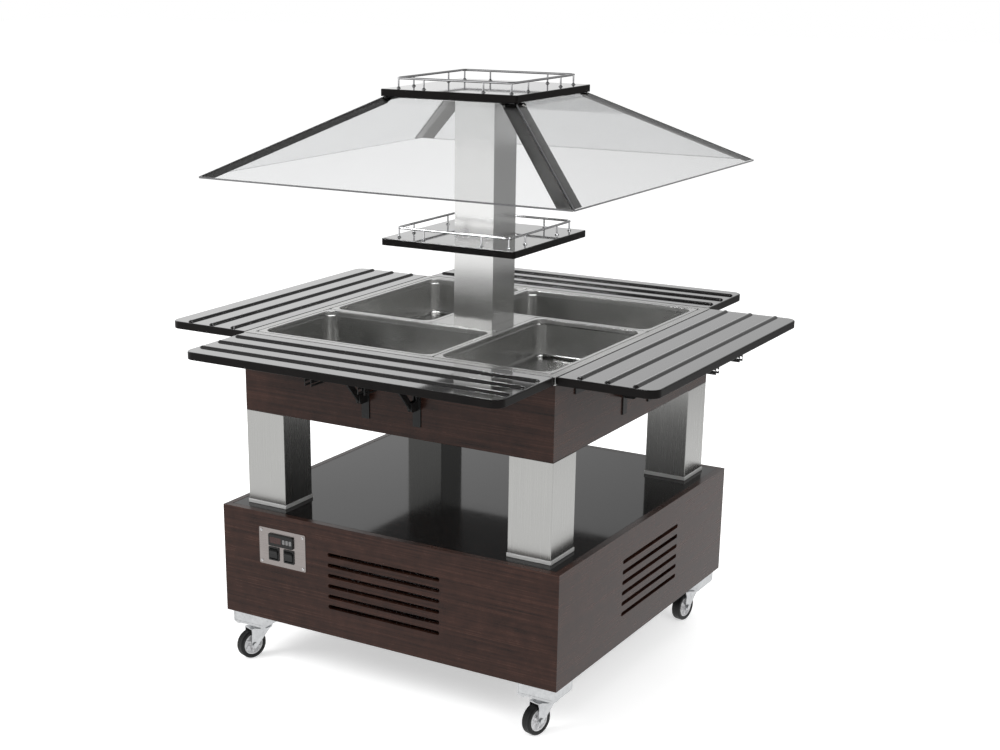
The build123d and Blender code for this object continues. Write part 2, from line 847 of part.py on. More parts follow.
def castor_plates():
    """Fixed halves of the castors: plate, bearing race and kingpin with its nut."""
    result = []
    low = castor_plate_top - castor_plate_thickness
    nut_bottom = crown_bottom - 6
    for corner, (sx, sy) in corner_signs.items():
        place = (sx * castor_centre, sy * castor_centre)
        half = castor_plate_size / 2
        plate = extrude(Pos(place[0], place[1], low) * RectangleRounded(2 * half, 2 * half, 6),
                        amount=castor_plate_thickness)
        plate += upright_cylinder(place, castor_race_diameter, race_bottom, low)
        plate += upright_cylinder(place, kingpin_diameter, nut_bottom, low)
        nut = RegularPolygon(kingpin_diameter * 0.75, 6)
        nut_height = crown_bottom - fitting_gap - nut_bottom
        plate += extrude(Pos(place[0], place[1], nut_bottom) * nut, amount=nut_height)
        for hole in bolt_places(corner):
            plate -= upright_cylinder(hole, castor_bolt_diameter, low - 1, castor_plate_top + 1)
        result.append(plate)
    return result


def castor_fork(corner):
    """Pressed fork with its bearing cup, and the axle through both legs."""
    crown = Circle(fork_crown_diameter / 2)
    leg_outer = fork_gap / 2 + fork_sheet
    nose = castor_trail + 8
    crown += rect((0, nose), (-leg_outer, leg_outer))
    fork = extrude(Pos(0, 0, crown_bottom) * crown, amount=fork_sheet)
    fork += upright_cylinder((0, 0), castor_race_diameter - 6, crown_top, race_bottom - fitting_gap)
    boss = 10
    leg = Polygon((-22, crown_top), (-22, crown_bottom - 4), (castor_trail - 9, wheel_radius - 5),
                  (castor_trail + 9.5, wheel_radius + 2), (nose, crown_top), align=None)
    leg += Pos(castor_trail, wheel_radius) * Circle(boss)
    leg -= Pos(castor_trail, wheel_radius) * Circle(axle_diameter / 2)
    for sign in (-1, 1):
        middle = sign * (fork_gap / 2 + fork_sheet / 2)
        fork += extrude(Plane(origin=(0, middle, 0), x_dir=(1, 0, 0), z_dir=(0, -1, 0)) * leg,
                        amount=fork_sheet / 2, both=True)
    fork -= upright_cylinder((0, 0), kingpin_diameter + 2 * running_clearance, crown_bottom - 1, race_bottom)
    axle = axle_bar(axle_diameter, 2 * leg_outer)
    head = RegularPolygon(7, 6)
    for sign in (-1, 1):
        end = (castor_trail, sign * leg_outer, wheel_radius)
        axle += extrude(Plane(origin=end, x_dir=(1, 0, 0), z_dir=(0, sign, 0)) * head, amount=4)
    return [at_castor(fork, corner), at_castor(axle, corner)]


def wheel_ring(outline):
    """Ring turned round the wheel axis from a half section drawn as radius and side."""
    plane = Plane(origin=(castor_trail, 0, wheel_radius), x_dir=(0, 0, 1), z_dir=(1, 0, 0))
    axis = Axis((castor_trail, 0, wheel_radius), (0, 1, 0))
    return revolve(plane * outline, axis=axis)


def castor_wheel(corner):
    """Solid tyre on a moulded hub."""
    inner = hub_diameter / 2
    tyre = rect((inner, wheel_radius), (-wheel_width / 2, wheel_width / 2))
    tyre = chamfer(tyre.vertices().sort_by(Axis.X)[-2:], 4)
    boss = hub_boss_diameter / 2
    bore = axle_diameter / 2 + running_clearance
    rim_half = hub_rim_width / 2
    hub = rect((inner - 4, inner), (-rim_half, rim_half))
    hub += rect((bore, inner - 2), (-3, 3))
    hub += rect((bore, boss), (-fork_gap / 2 + 0.5, fork_gap / 2 - 0.5))
    return [at_castor(wheel_ring(tyre), corner), at_castor(wheel_ring(hub), corner)]


def control_plate():
    """Brushed plate with cut-outs for the controller and the two switches."""
    middle_x = (plate_left + plate_right) / 2
    middle_z = (plate_bottom + plate_top) / 2
    outline = RectangleRounded(plate_right - plate_left, plate_top - plate_bottom, plate_corner)
    plate = extrude(front_plane(middle_x, -base_half, middle_z) * outline, amount=plate_sheet)
    face = (-base_half - plate_sheet - 1, -base_half + 1)
    x, z = controller_centre
    plate -= slab((x - controller_body_width / 2, x + controller_body_width / 2), face,
                  (z - controller_body_height / 2, z + controller_body_height / 2))
    for x in rocker_places():
        plate -= slab((x - rocker_body_width / 2, x + rocker_body_width / 2), face,
                      (rocker_height - rocker_body_height / 2, rocker_height + rocker_body_height / 2))
    for x, z in control_screw_places():
        plate -= front_bar(x, z, plate_screw_diameter, face[0], face[1])
    return [plate]


def rocker_places():
    """Centres of the two switches along X."""
    middle = controller_centre[0]
    return [middle - rocker_spacing / 2, middle + rocker_spacing / 2]


def key_places():
    """Centres of the controller keys along X."""
    return [controller_centre[0] + key_first_shift + i * key_pitch for i in range(len(key_names))]


plate_face = -base_half - plate_sheet


def controller():
    """Controller housing with its window recess and key pockets."""
    x, z = controller_centre
    bezel = extrude(front_plane(x, plate_face, z) * RectangleRounded(controller_width, controller_height, 3),
                    amount=controller_bezel)
    bezel = chamfer(bezel.faces().sort_by(Axis.Y)[0].edges(), 1)
    body = slab((x - controller_body_width / 2, x + controller_body_width / 2),
                (plate_face, plate_face + controller_body_depth),
                (z - controller_body_height / 2, z + controller_body_height / 2))
    front = plate_face - controller_bezel
    window = slab((x + window_shift - window_width / 2, x + window_shift + window_width / 2),
                  (front - 1, front + window_depth), (z - window_height / 2, z + window_height / 2))
    housing = bezel + body - window
    width = key_width / 2 + fitting_gap
    height = key_height / 2 + fitting_gap
    for place in key_places():
        housing -= slab((place - width, place + width), (front - 1, front + key_pocket_depth),
                        (z - height, z + height))
    return housing


def rocker_housing(x):
    """Switch housing with a raised bezel and the pocket of the rocker."""
    z = rocker_height
    front = plate_face - rocker_bezel
    outline = RectangleRounded(rocker_bezel_width, rocker_bezel_height, 2)
    housing = extrude(front_plane(x, plate_face, z) * outline, amount=rocker_bezel)
    half_width = rocker_body_width / 2
    half_height = rocker_body_height / 2
    housing += slab((x - half_width, x + half_width), (plate_face, front + rocker_body_depth),
                    (z - half_height, z + half_height))
    housing -= slab((x - half_width + rocker_wall, x + half_width - rocker_wall),
                    (front - 1, front + rocker_cavity_depth),
                    (z - half_height + rocker_wall, z + half_height - rocker_wall))
    pin = Pos(x, front + rocker_pivot_depth, z) * Rot(0, 90, 0)
    return housing - pin * Cylinder(rocker_pin_diameter / 2 + running_clearance, rocker_body_width)


def control_housings():
    """Controller housing and both switch housings."""
    return [controller()] + [rocker_housing(x) for x in rocker_places()]


def controller_key(index):
    """One push key of the controller."""
    x, z = key_places()[index], controller_centre[1]
    front = plate_face - controller_bezel - key_rise
    return [slab((x - key_width / 2, x + key_width / 2), (front, front + key_thickness),
                 (z - key_height / 2, z + key_height / 2))]


def rocker(index):
    """Rocker on its two stub pins, shown pressed at the lower end."""
    x = rocker_places()[index]
    pivot_y = plate_face - rocker_bezel + rocker_pivot_depth
    reach = rocker_body_height / 2 - rocker_wall - fitting_gap
    section = Circle(reach) & rect((-reach, reach), (-rocker_back, rocker_front))
    section -= Polygon((-reach, rocker_front), (0, rocker_front - 2), (reach, rocker_front), align=None)
    plane = Plane(origin=(x, pivot_y, rocker_height), x_dir=(0, 0, 1), z_dir=(1, 0, 0))
    width = rocker_body_width - 2 * rocker_wall - 2 * fitting_gap
    key = extrude(plane * Rot(0, 0, rocker_tilt) * section, amount=width / 2, both=True)
    pin = Pos(x, pivot_y, rocker_height) * Rot(0, 90, 0)
    return [key + pin * Cylinder(rocker_pin_diameter / 2, rocker_body_width - rocker_wall)]


def screws():
    """Screws of the control plate and bolts of the castor plates."""
    result = []
    for x, z in control_screw_places():
        screw = front_bar(x, z, plate_screw_head, plate_face - plate_screw_rise, plate_face)
        screw = chamfer(screw.faces().sort_by(Axis.Y)[0].edges(), 0.8)
        screw += front_bar(x, z, plate_screw_diameter, plate_face, plate_face + plate_screw_length)
        result.append(screw)
    low = castor_plate_top - castor_plate_thickness
    head = RegularPolygon(castor_bolt_diameter * 0.9, 6)
    for corner in corner_signs:
        for place in bolt_places(corner):
            bolt = extrude(Pos(place[0], place[1], low) * head, amount=-5)
            bolt += upright_cylinder(place, castor_bolt_diameter, low, castor_plate_top + frame_sheet + 3)
            result.append(bolt)
    return result


tray_top = base_bottom + frame_sheet


def compressor():
    """Hermetic compressor: two drawn shells with a seam, terminal box, foot plate on rubber feet."""
    x, y = compressor_place
    low = tray_top + compressor_foot + compressor_plate[2]
    high = low + compressor_height
    seam = (low + high) / 2
    seam_top = seam + seam_thickness
    r = compressor_radius
    outline = Polygon((0, low), (r - 16, low), (r - 4, low + 6), (r, low + 18), (r, seam),
                      (r + seam_flange, seam), (r + seam_flange, seam_top), (r, seam_top),
                      (r, high - 36), (r - 8, high - 18), (r - 28, high - 5), (0, high), align=None)
    shell = Pos(x, y, 0) * revolve(Plane.XZ * outline, axis=Axis.Z)
    plate_low = tray_top + compressor_foot
    half_x, half_y = compressor_plate[0] / 2, compressor_plate[1] / 2
    shell += slab((x - half_x, x + half_x), (y - half_y, y + half_y), (plate_low, low))
    box_width, box_depth, box_height = terminal_box
    box_low = low + terminal_box_rise
    shell += slab((x - box_width / 2, x + box_width / 2), (y + r - box_depth / 2, y + r + box_depth),
                  (box_low, box_low + box_height))
    feet = []
    for i in (-1, 1):
        for j in (-1, 1):
            place = (x + i * (half_x - compressor_foot_inset), y + j * (half_y - compressor_foot_inset))
            feet.append(upright_cylinder(place, compressor_foot_diameter, tray_top, plate_low))
    return [shell] + feet


condenser_y = (-frame_half + condenser_front, -frame_half + condenser_front + condenser_depth)
condenser_x = (front_slot_shift - condenser_width / 2, front_slot_shift + condenser_width / 2)
condenser_z = (condenser_bottom, condenser_bottom + condenser_height)
fan_centre = (front_slot_shift, condenser_y[1] + shroud_depth / 2, condenser_bottom + condenser_height / 2)
motor_front = condenser_y[1] + shroud_depth + motor_gap


def condenser():
    """Finned block behind the front louvres, with its tubes, fan shroud on legs and fan motor."""
    block = None
    step = (condenser_width - fin_sheet) / (fin_count - 1)
    for index in range(fin_count):
        left = condenser_x[0] + index * step
        fin = slab((left, left + fin_sheet), condenser_y, condenser_z)
        block = fin if block is None else block + fin
    row_step = condenser_height / condenser_tube_rows
    middle_y = sum(condenser_y) / 2
    pass_tube = Rot(0, 90, 0) * Cylinder(condenser_tube / 2, condenser_width)
    for row in range(condenser_tube_rows):
        block += Pos(front_slot_shift, middle_y, condenser_bottom + (row + 0.5) * row_step) * pass_tube
    shroud_y = (condenser_y[1], condenser_y[1] + shroud_depth)
    shroud = slab(condenser_x, shroud_y, condenser_z)
    inside_x = (condenser_x[0] + shroud_sheet, condenser_x[1] - shroud_sheet)
    inside_z = (condenser_z[0] + shroud_sheet, condenser_z[1] - shroud_sheet)
    shroud -= slab(inside_x, (shroud_y[0] - 1, shroud_y[1] - shroud_sheet), inside_z)
    shroud -= front_bar(fan_centre[0], fan_centre[2], fan_opening, shroud_y[0] - 1, shroud_y[1] + 1)
    for left in (condenser_x[0], condenser_x[1] - condenser_leg):
        leg_x = (left, left + condenser_leg)
        back_leg_y = (shroud_y[1] - shroud_sheet, shroud_y[1])
        front_leg_y = (condenser_y[0], condenser_y[0] + shroud_sheet)
        shroud += slab(leg_x, (condenser_y[0], shroud_y[1]), (tray_top, tray_top + shroud_sheet))
        shroud += slab(leg_x, back_leg_y, (tray_top, condenser_z[0] + 2 * shroud_sheet))
        shroud += slab(leg_x, front_leg_y, (tray_top, condenser_z[0]))
    return [block, shroud, fan_motor(shroud_y[1])]


def fan_motor(shroud_back):
    """Fan motor on the two arms of its bracket, which stand on the shroud beside the opening."""
    x, z = fan_centre[0], fan_centre[2]
    motor = front_bar(x, z, motor_diameter, motor_front, motor_front + motor_length)
    motor -= front_bar(x, z, fan_shaft_diameter + 2 * running_clearance,
                       motor_front - 1, motor_front + fan_shaft_reach + 1)
    bar_back = motor_front + motor_bar_back
    bar_z = (z - motor_bar_height / 2, z + motor_bar_height / 2)
    far = fan_opening / 2 + 4 * motor_bar_sheet
    near = motor_diameter / 2 - motor_bar_sheet
    for sign in (-1, 1):
        arm_x = sorted((x + sign * near, x + sign * far))
        foot_x = sorted((x + sign * (far - motor_bar_sheet), x + sign * far))
        motor += slab(arm_x, (bar_back - motor_bar_sheet, bar_back), bar_z)
        motor += slab(foot_x, (shroud_back, bar_back), bar_z)
    return motor


def fan():
    """Fan with five pitched blades and its shaft."""
    x, y, z = fan_centre
    wheel = front_bar(x, z, fan_hub_diameter, y - fan_hub_length / 2, y + fan_hub_length / 2)
    wheel += front_bar(x, z, fan_shaft_diameter, y, motor_front + fan_shaft_reach)
    inner = fan_hub_diameter / 2 - 3
    outer = fan_diameter / 2
    for index in range(fan_blades):
        blade = Rot(fan_blade_pitch, 0, 0) * Box(outer - inner, fan_blade_sheet, fan_blade_chord)
        blade = Pos((inner + outer) / 2, 0, 0) * blade
        wheel += Pos(x, y, z) * Rot(0, index * 360 / fan_blades, 0) * blade
    return [wheel]


def tube(points, radius, diameter, bore=0):
    """Bent tube along straight runs joined by arcs."""
    path = FilletPolyline(*points, radius=radius)
    plane = Plane(origin=path @ 0, z_dir=path % 0)
    section = Circle(diameter / 2)
    if bore:
        section -= Circle(bore / 2)
    return sweep(plane * section, path=path)


def pipework():
    """Liquid and suction lines with the evaporator serpentine, and the discharge line."""
    coil_z = tank_floor - tank_wall - tube_diameter / 2 - fitting_gap
    port_y = sum(condenser_y) / 2
    liquid_z = condenser_bottom + liquid_port_rise
    liquid_x = condenser_x[0] - liquid_reach
    cx, cy = compressor_place
    line = [(condenser_x[0], port_y, liquid_z), (liquid_x, port_y, liquid_z),
            (liquid_x, riser_liquid[1], liquid_z), (riser_liquid[0], riser_liquid[1], liquid_z),
            (riser_liquid[0], riser_liquid[1], coil_z)]
    side = serpentine_half
    for row in serpentine_rows:
        start = riser_liquid[0] if row == serpentine_rows[0] else -side
        end = riser_suction[0] if row == serpentine_rows[-1] else -side
        going_right = serpentine_rows.index(row) % 2 == 0
        if going_right:
            line += [(start, row, coil_z), (side, row, coil_z)]
        else:
            line += [(side, row, coil_z), (end, row, coil_z)]
    sx, sy = riser_suction
    line += [(sx, sy, coil_z), (sx, sy, suction_height),
             (sx, cy, suction_height), (cx - compressor_radius, cy, suction_height)]
    discharge_z = condenser_bottom + discharge_port_rise
    discharge_x = condenser_x[1] + discharge_reach
    discharge = [(cx + compressor_radius, cy, discharge_z), (discharge_x, cy, discharge_z),
                 (discharge_x, port_y, discharge_z), (condenser_x[1], port_y, discharge_z)]
    return [tube(line, pipe_bend, tube_diameter), tube(discharge, discharge_bend, tube_diameter)]


def drain():
    """Drain pipe down the back left post, with its valve and outlet through the floor tray."""
    x, y = drain_place
    valve_top = drain_valve_height + drain_valve_size
    pipe = upright_cylinder(drain_place, drain_diameter, valve_top, tank_floor - tank_wall)
    pipe -= upright_cylinder(drain_place, drain_bore, valve_top - 1, tank_floor + 1)
    half = drain_valve_size / 2
    valve = slab((x - half, x + half), (y - half, y + half), (drain_valve_height, valve_top))
    stem_end = x - half - drain_stem_length
    stem = drain_stem_size / 2
    middle_z = drain_valve_height + half
    lever_sheet, lever_height = drain_lever_size
    valve += slab((stem_end, x - half), (y - stem, y + stem), (middle_z - stem, middle_z + stem))
    valve += slab((stem_end - lever_sheet, stem_end), (y + stem - drain_lever_length, y + stem),
                  (middle_z - lever_height / 2, middle_z + lever_height / 2))
    outlet = tube([(x, y, drain_valve_height), (x, y, drain_elbow_height),
                   (drain_outlet_x, y, drain_elbow_height), (drain_outlet_x, y, drain_outlet_bottom)],
                  drain_bend, drain_diameter, drain_bore)
    return [pipe, valve, outlet]


def electric_box():
    """Steel box with its lid on the floor tray, and the cord gland in the back panel."""
    x, y = electric_box_corner
    dx, dy, dz = electric_box_size
    wall = electric_box_wall
    box = slab((x, x + dx), (y, y + dy), (tray_top, tray_top + dz))
    box -= slab((x + wall, x + dx - wall), (y + wall, y + dy - wall), (tray_top + wall, tray_top + dz + 1))
    lid = slab((x, x + dx), (y, y + dy), (tray_top + dz, tray_top + dz + wall))
    gx, gz = -gland_place[0], gland_place[1]
    inner_end = panel_inner - gland_flange_thickness
    outer_end = base_half + gland_flange_thickness
    gland = front_bar(gx, gz, gland_hole, panel_inner, base_half)
    gland += front_bar(gx, gz, gland_flange, base_half, outer_end)
    gland += front_bar(gx, gz, gland_flange, inner_end, panel_inner)
    gland -= front_bar(gx, gz, gland_bore, inner_end - 1, outer_end + 1)
    return [box, lid, gland]


def nodes():
    """Every node of the island with its solids."""
    result = {
        "base_frame": base_frame(),
        "panel_front": panel_front(),
        "panel_right": panel_right(),
        "panel_back": panel_back(),
        "panel_left": panel_left(),
        "deck": deck(),
        "posts": posts(),
        "well_tank": well_tank(),
        "insulation": insulation(),
        "apron_panels": apron_panels(),
        "top_frame": top_frame(),
        "pan_supports": pan_supports(),
        "column": column(),
        "centre_cover": centre_cover(),
        "mid_shelf": mid_shelf(),
        "top_shelf": top_shelf(),
        "gallery_rails": gallery_rails(),
        "hip_bars": hip_bars(),
        "canopy_panels": canopy_panels(),
        "control_plate": control_plate(),
        "control_housings": control_housings(),
        "screws": screws(),
        "compressor": compressor(),
        "condenser": condenser(),
        "pipework": pipework(),
        "electric_box": electric_box(),
        "drain": drain(),
        "slide_brackets": slide_brackets(),
        "castor_plates": castor_plates(),
        "rocker_power": rocker(0),
        "rocker_cooling": rocker(1),
        "fan": fan(),
    }
    for index, name in enumerate(key_names):
        result[f"key_{name}"] = controller_key(index)
    board, arms, braces, pan = slide_board(), slide_arms(), slide_braces(), front_pan()
    for side in side_angles:
        result[f"tray_slide_{side}"] = [turned(board, side)]
        result[f"slide_arms_{side}"] = [turned(arm, side) for arm in arms]
        result[f"slide_braces_{side}"] = [turned(brace, side) for brace in braces]
        result[f"pan_{side}"] = [turned(pan, side)]
    for corner in corner_signs:
        result[f"castor_fork_{corner}"] = castor_fork(corner)
        result[f"castor_wheel_{corner}"] = castor_wheel(corner)
    return result


os.makedirs("parts", exist_ok=True)
for name, pieces in nodes().items():
    solids = [solid for piece in pieces for solid in piece.solids()]
    export_step(Compound(children=solids), f"parts/{name}.step")
print("nodes written")
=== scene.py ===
import json
import math

import bmesh
import bpy
import numpy as np
from mathutils import Matrix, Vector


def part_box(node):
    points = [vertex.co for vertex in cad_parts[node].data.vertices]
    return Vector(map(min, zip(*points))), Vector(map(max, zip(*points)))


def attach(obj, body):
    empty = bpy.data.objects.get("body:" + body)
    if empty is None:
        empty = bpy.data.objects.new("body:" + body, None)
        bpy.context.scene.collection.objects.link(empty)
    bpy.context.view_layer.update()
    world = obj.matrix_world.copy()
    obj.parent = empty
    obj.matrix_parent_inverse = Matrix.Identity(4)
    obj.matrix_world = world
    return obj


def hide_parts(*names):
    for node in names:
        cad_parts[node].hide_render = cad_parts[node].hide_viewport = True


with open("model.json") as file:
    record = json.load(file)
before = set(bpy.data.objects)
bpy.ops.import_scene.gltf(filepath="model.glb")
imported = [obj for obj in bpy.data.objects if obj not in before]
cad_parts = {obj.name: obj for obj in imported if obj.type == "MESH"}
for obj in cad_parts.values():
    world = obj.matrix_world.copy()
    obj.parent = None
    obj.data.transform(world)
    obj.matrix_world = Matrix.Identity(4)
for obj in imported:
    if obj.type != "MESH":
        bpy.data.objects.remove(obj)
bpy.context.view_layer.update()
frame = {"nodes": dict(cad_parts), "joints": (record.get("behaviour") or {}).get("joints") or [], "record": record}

# Buffet island on castors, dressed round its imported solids.
# Metres, the front with the control plate is the -Y side and the floor is z = 0.

bodyOf = {node: body for body, nodes in frame["record"]["behaviour"]["bodies"].items() for node in nodes}
jointOf = {joint["name"]: joint for joint in frame["joints"]}
sides = {"front": 0, "right": 90, "back": 180, "left": 270}
corners = ("front_left", "front_right", "back_right", "back_left")


# Camera, lamps and floor

cameraLook = {
    "place": (2.1667, -3.7628, 1.8436),
    "turn": 0.5687,  # to the left of the +Y direction, radians
    "down": 0.3261,
    "roll": -0.0024,
    "focalPixels": 1668.5,
    "axisPixel": (408.48, 507.36),  # where the camera's axis meets the picture
    "pictureSize": (1000, 750),
    "sensorWidth": 36,
    "clip": (0.1, 100),
}
studioLook = {
    "background": (1.0, 1.0, 1.0, 1.0),
    "ambient": 0.62,  # what the sky gives to diffuse surfaces
    "ceilingGlow": 0.22,  # what polished surfaces see overhead
    "wallTop": (0.34, 0.70),  # sine of the height where the white wall fades into the ceiling
    "sideFade": (-0.72, 0.0, 1.0, 0.30),  # for them it dims from the left to the right, by the ray's X
    "floorSize": 60,
    "floorColour": (0.86, 0.86, 0.86, 1.0),
    "floorGlow": 0.50,
    "mirroredFloor": (2.5, 7.5, 1.0, 0.30),  # seen in mirrors: distance to the back right and brightness
    "lampAim": 0.8,  # height of the point that the lamps look at
    "lamps": {
        "keyLamp": {"place": (-3.4, -4.6, 4.6), "size": 3.2, "power": 260},
        "fillLamp": {"place": (4.6, -2.2, 3.4), "size": 3.0, "power": 90},
        "topLamp": {"place": (0.4, 0.6, 5.2), "size": 3.6, "power": 120},
    },
}


def makeCamera(look):
    width, height = look["pictureSize"]
    camera = bpy.data.objects.new("photoCamera", bpy.data.cameras.new("photoCamera"))
    bpy.context.scene.collection.objects.link(camera)
    camera.data.sensor_width = look["sensorWidth"]
    camera.data.lens = look["focalPixels"] / width * look["sensorWidth"]
    camera.data.shift_x = (width / 2 - look["axisPixel"][0]) / width
    camera.data.shift_y = (look["axisPixel"][1] - height / 2) / width
    camera.data.clip_start, camera.data.clip_end = look["clip"]
    aim = Matrix.Rotation(look["turn"], 4, "Z") @ Matrix.Rotation(math.pi / 2 - look["down"], 4, "X")
    camera.matrix_world = Matrix.Translation(look["place"]) @ aim @ Matrix.Rotation(look["roll"], 4, "Z")
    bpy.context.scene.camera = camera
    bpy.context.scene.view_settings.view_transform = "Standard"


def mapRange(tree, value, fromLow, fromHigh, toLow, toHigh, kind="LINEAR"):
    node = tree.nodes.new("ShaderNodeMapRange")
    node.interpolation_type = kind
    tree.links.new(value, node.inputs["Value"])
    ends = {"From Min": fromLow, "From Max": fromHigh, "To Min": toLow, "To Max": toHigh}
    for name, number in ends.items():
        node.inputs[name].default_value = number
    return node.outputs["Result"]


def mathNode(tree, operation, first, second):
    node = tree.nodes.new("ShaderNodeMath")
    node.operation = operation
    for index, value in enumerate((first, second)):
        if isinstance(value, (int, float)):
            node.inputs[index].default_value = value
        else:
            tree.links.new(value, node.inputs[index])
    return node.outputs[0]


def rayKinds(tree):
    # direct is one for rays from the camera, a mirror or a clear sheet; mirrored is one after any mirror
    path = tree.nodes.new("ShaderNodeLightPath")
    direct = path.outputs["Is Camera Ray"]
    for name in ("Is Glossy Ray", "Is Transmission Ray"):
        direct = mathNode(tree, "MAXIMUM", direct, path.outputs[name])
    return direct, mathNode(tree, "MINIMUM", path.outputs["Glossy Depth"], 1.0)


def makeSky(look):
    # white for the camera and clear sheets; mirrors see a white wall that fades to a dim ceiling
    world = bpy.data.worlds.new("studioSky")
    bpy.context.scene.world = world
    world.use_nodes = True
    tree = world.node_tree
    tree.nodes.clear()
    direct, mirrored = rayKinds(tree)
    place = tree.nodes.new("ShaderNodeTexCoord")
    axes = tree.nodes.new("ShaderNodeSeparateXYZ")
    tree.links.new(place.outputs["Generated"], axes.inputs[0])
    up = mapRange(tree, axes.outputs["Z"], *look["wallTop"], 1.0, look["ceilingGlow"], "SMOOTHSTEP")
    aside = mapRange(tree, axes.outputs["X"], *look["sideFade"], "SMOOTHSTEP")
    glow = mathNode(tree, "MAXIMUM", mathNode(tree, "MULTIPLY", up, aside),
                    mathNode(tree, "SUBTRACT", 1.0, mirrored))
    ambient = mathNode(tree, "MULTIPLY", mathNode(tree, "SUBTRACT", 1.0, direct), look["ambient"])
    strength = mathNode(tree, "ADD", mathNode(tree, "MULTIPLY", glow, direct), ambient)
    back = tree.nodes.new("ShaderNodeBackground")
    back.inputs["Color"].default_value = look["background"]
    tree.links.new(strength, back.inputs["Strength"])
    out = tree.nodes.new("ShaderNodeOutputWorld")
    tree.links.new(back.outputs[0], out.inputs["Surface"])


def makeFloor(look):
    # pale floor that reads white where it is lit and keeps the shadow of the island
    half = look["floorSize"] / 2
    mesh = bpy.data.meshes.new("studioFloor")
    square = [(-half, -half, 0), (half, -half, 0), (half, half, 0), (-half, half, 0)]
    mesh.from_pydata(square, [], [(0, 1, 2, 3)])
    floor = bpy.data.objects.new("studioFloor", mesh)
    bpy.context.scene.collection.objects.link(floor)
    material = bpy.data.materials.new("floorPaint")
    material.use_nodes = True
    tree = material.node_tree
    tree.nodes.clear()
    paint = tree.nodes.new("ShaderNodeBsdfDiffuse")
    paint.inputs["Color"].default_value = look["floorColour"]
    glow = tree.nodes.new("ShaderNodeEmission")
    direct, mirrored = rayKinds(tree)
    tree.links.new(mathNode(tree, "MULTIPLY", direct, look["floorGlow"]), glow.inputs["Strength"])
    both = tree.nodes.new("ShaderNodeAddShader")
    tree.links.new(paint.outputs[0], both.inputs[0])
    tree.links.new(glow.outputs[0], both.inputs[1])
    place = tree.nodes.new("ShaderNodeTexCoord")
    axes = tree.nodes.new("ShaderNodeSeparateXYZ")
    tree.links.new(place.outputs["Object"], axes.inputs[0])
    away = mathNode(tree, "ADD", axes.outputs["X"], axes.outputs["Y"])
    image = tree.nodes.new("ShaderNodeEmission")
    tree.links.new(mapRange(tree, away, *look["mirroredFloor"], "SMOOTHSTEP"), image.inputs["Strength"])
    choice = tree.nodes.new("ShaderNodeMixShader")
    tree.links.new(mathNode(tree, "MULTIPLY", mirrored, direct), choice.inputs[0])
    tree.links.new(both.outputs[0], choice.inputs[1])
    tree.links.new(image.outputs[0], choice.inputs[2])
    out = tree.nodes.new("ShaderNodeOutputMaterial")
    tree.links.new(choice.outputs[0], out.inputs["Surface"])
    mesh.materials.append(material)


def makeLamps(look):
    for name, lamp in look["lamps"].items():
        light = bpy.data.objects.new(name, bpy.data.lights.new(name, "AREA"))
        bpy.context.scene.collection.objects.link(light)
        light.data.shape = "DISK"
        light.data.size = lamp["size"]
        light.data.energy = lamp["power"]
        light.location = lamp["place"]
        aim = -light.location
        aim.z += look["lampAim"]
        light.rotation_euler = aim.to_track_quat("-Z", "Y").to_euler()
        light.visible_camera = False
        light.visible_glossy = False


makeCamera(cameraLook)
makeSky(studioLook)
makeFloor(studioLook)
makeLamps(studioLook)
print("camera, lamps and floor are set")


# Finishes. Each has two tones mixed by a stretched noise, the grain, and a round one, the mottling;
# stretch is the grain's frequency along X, Y and Z, per metre. What a finish leaves out is as in plainFinish.

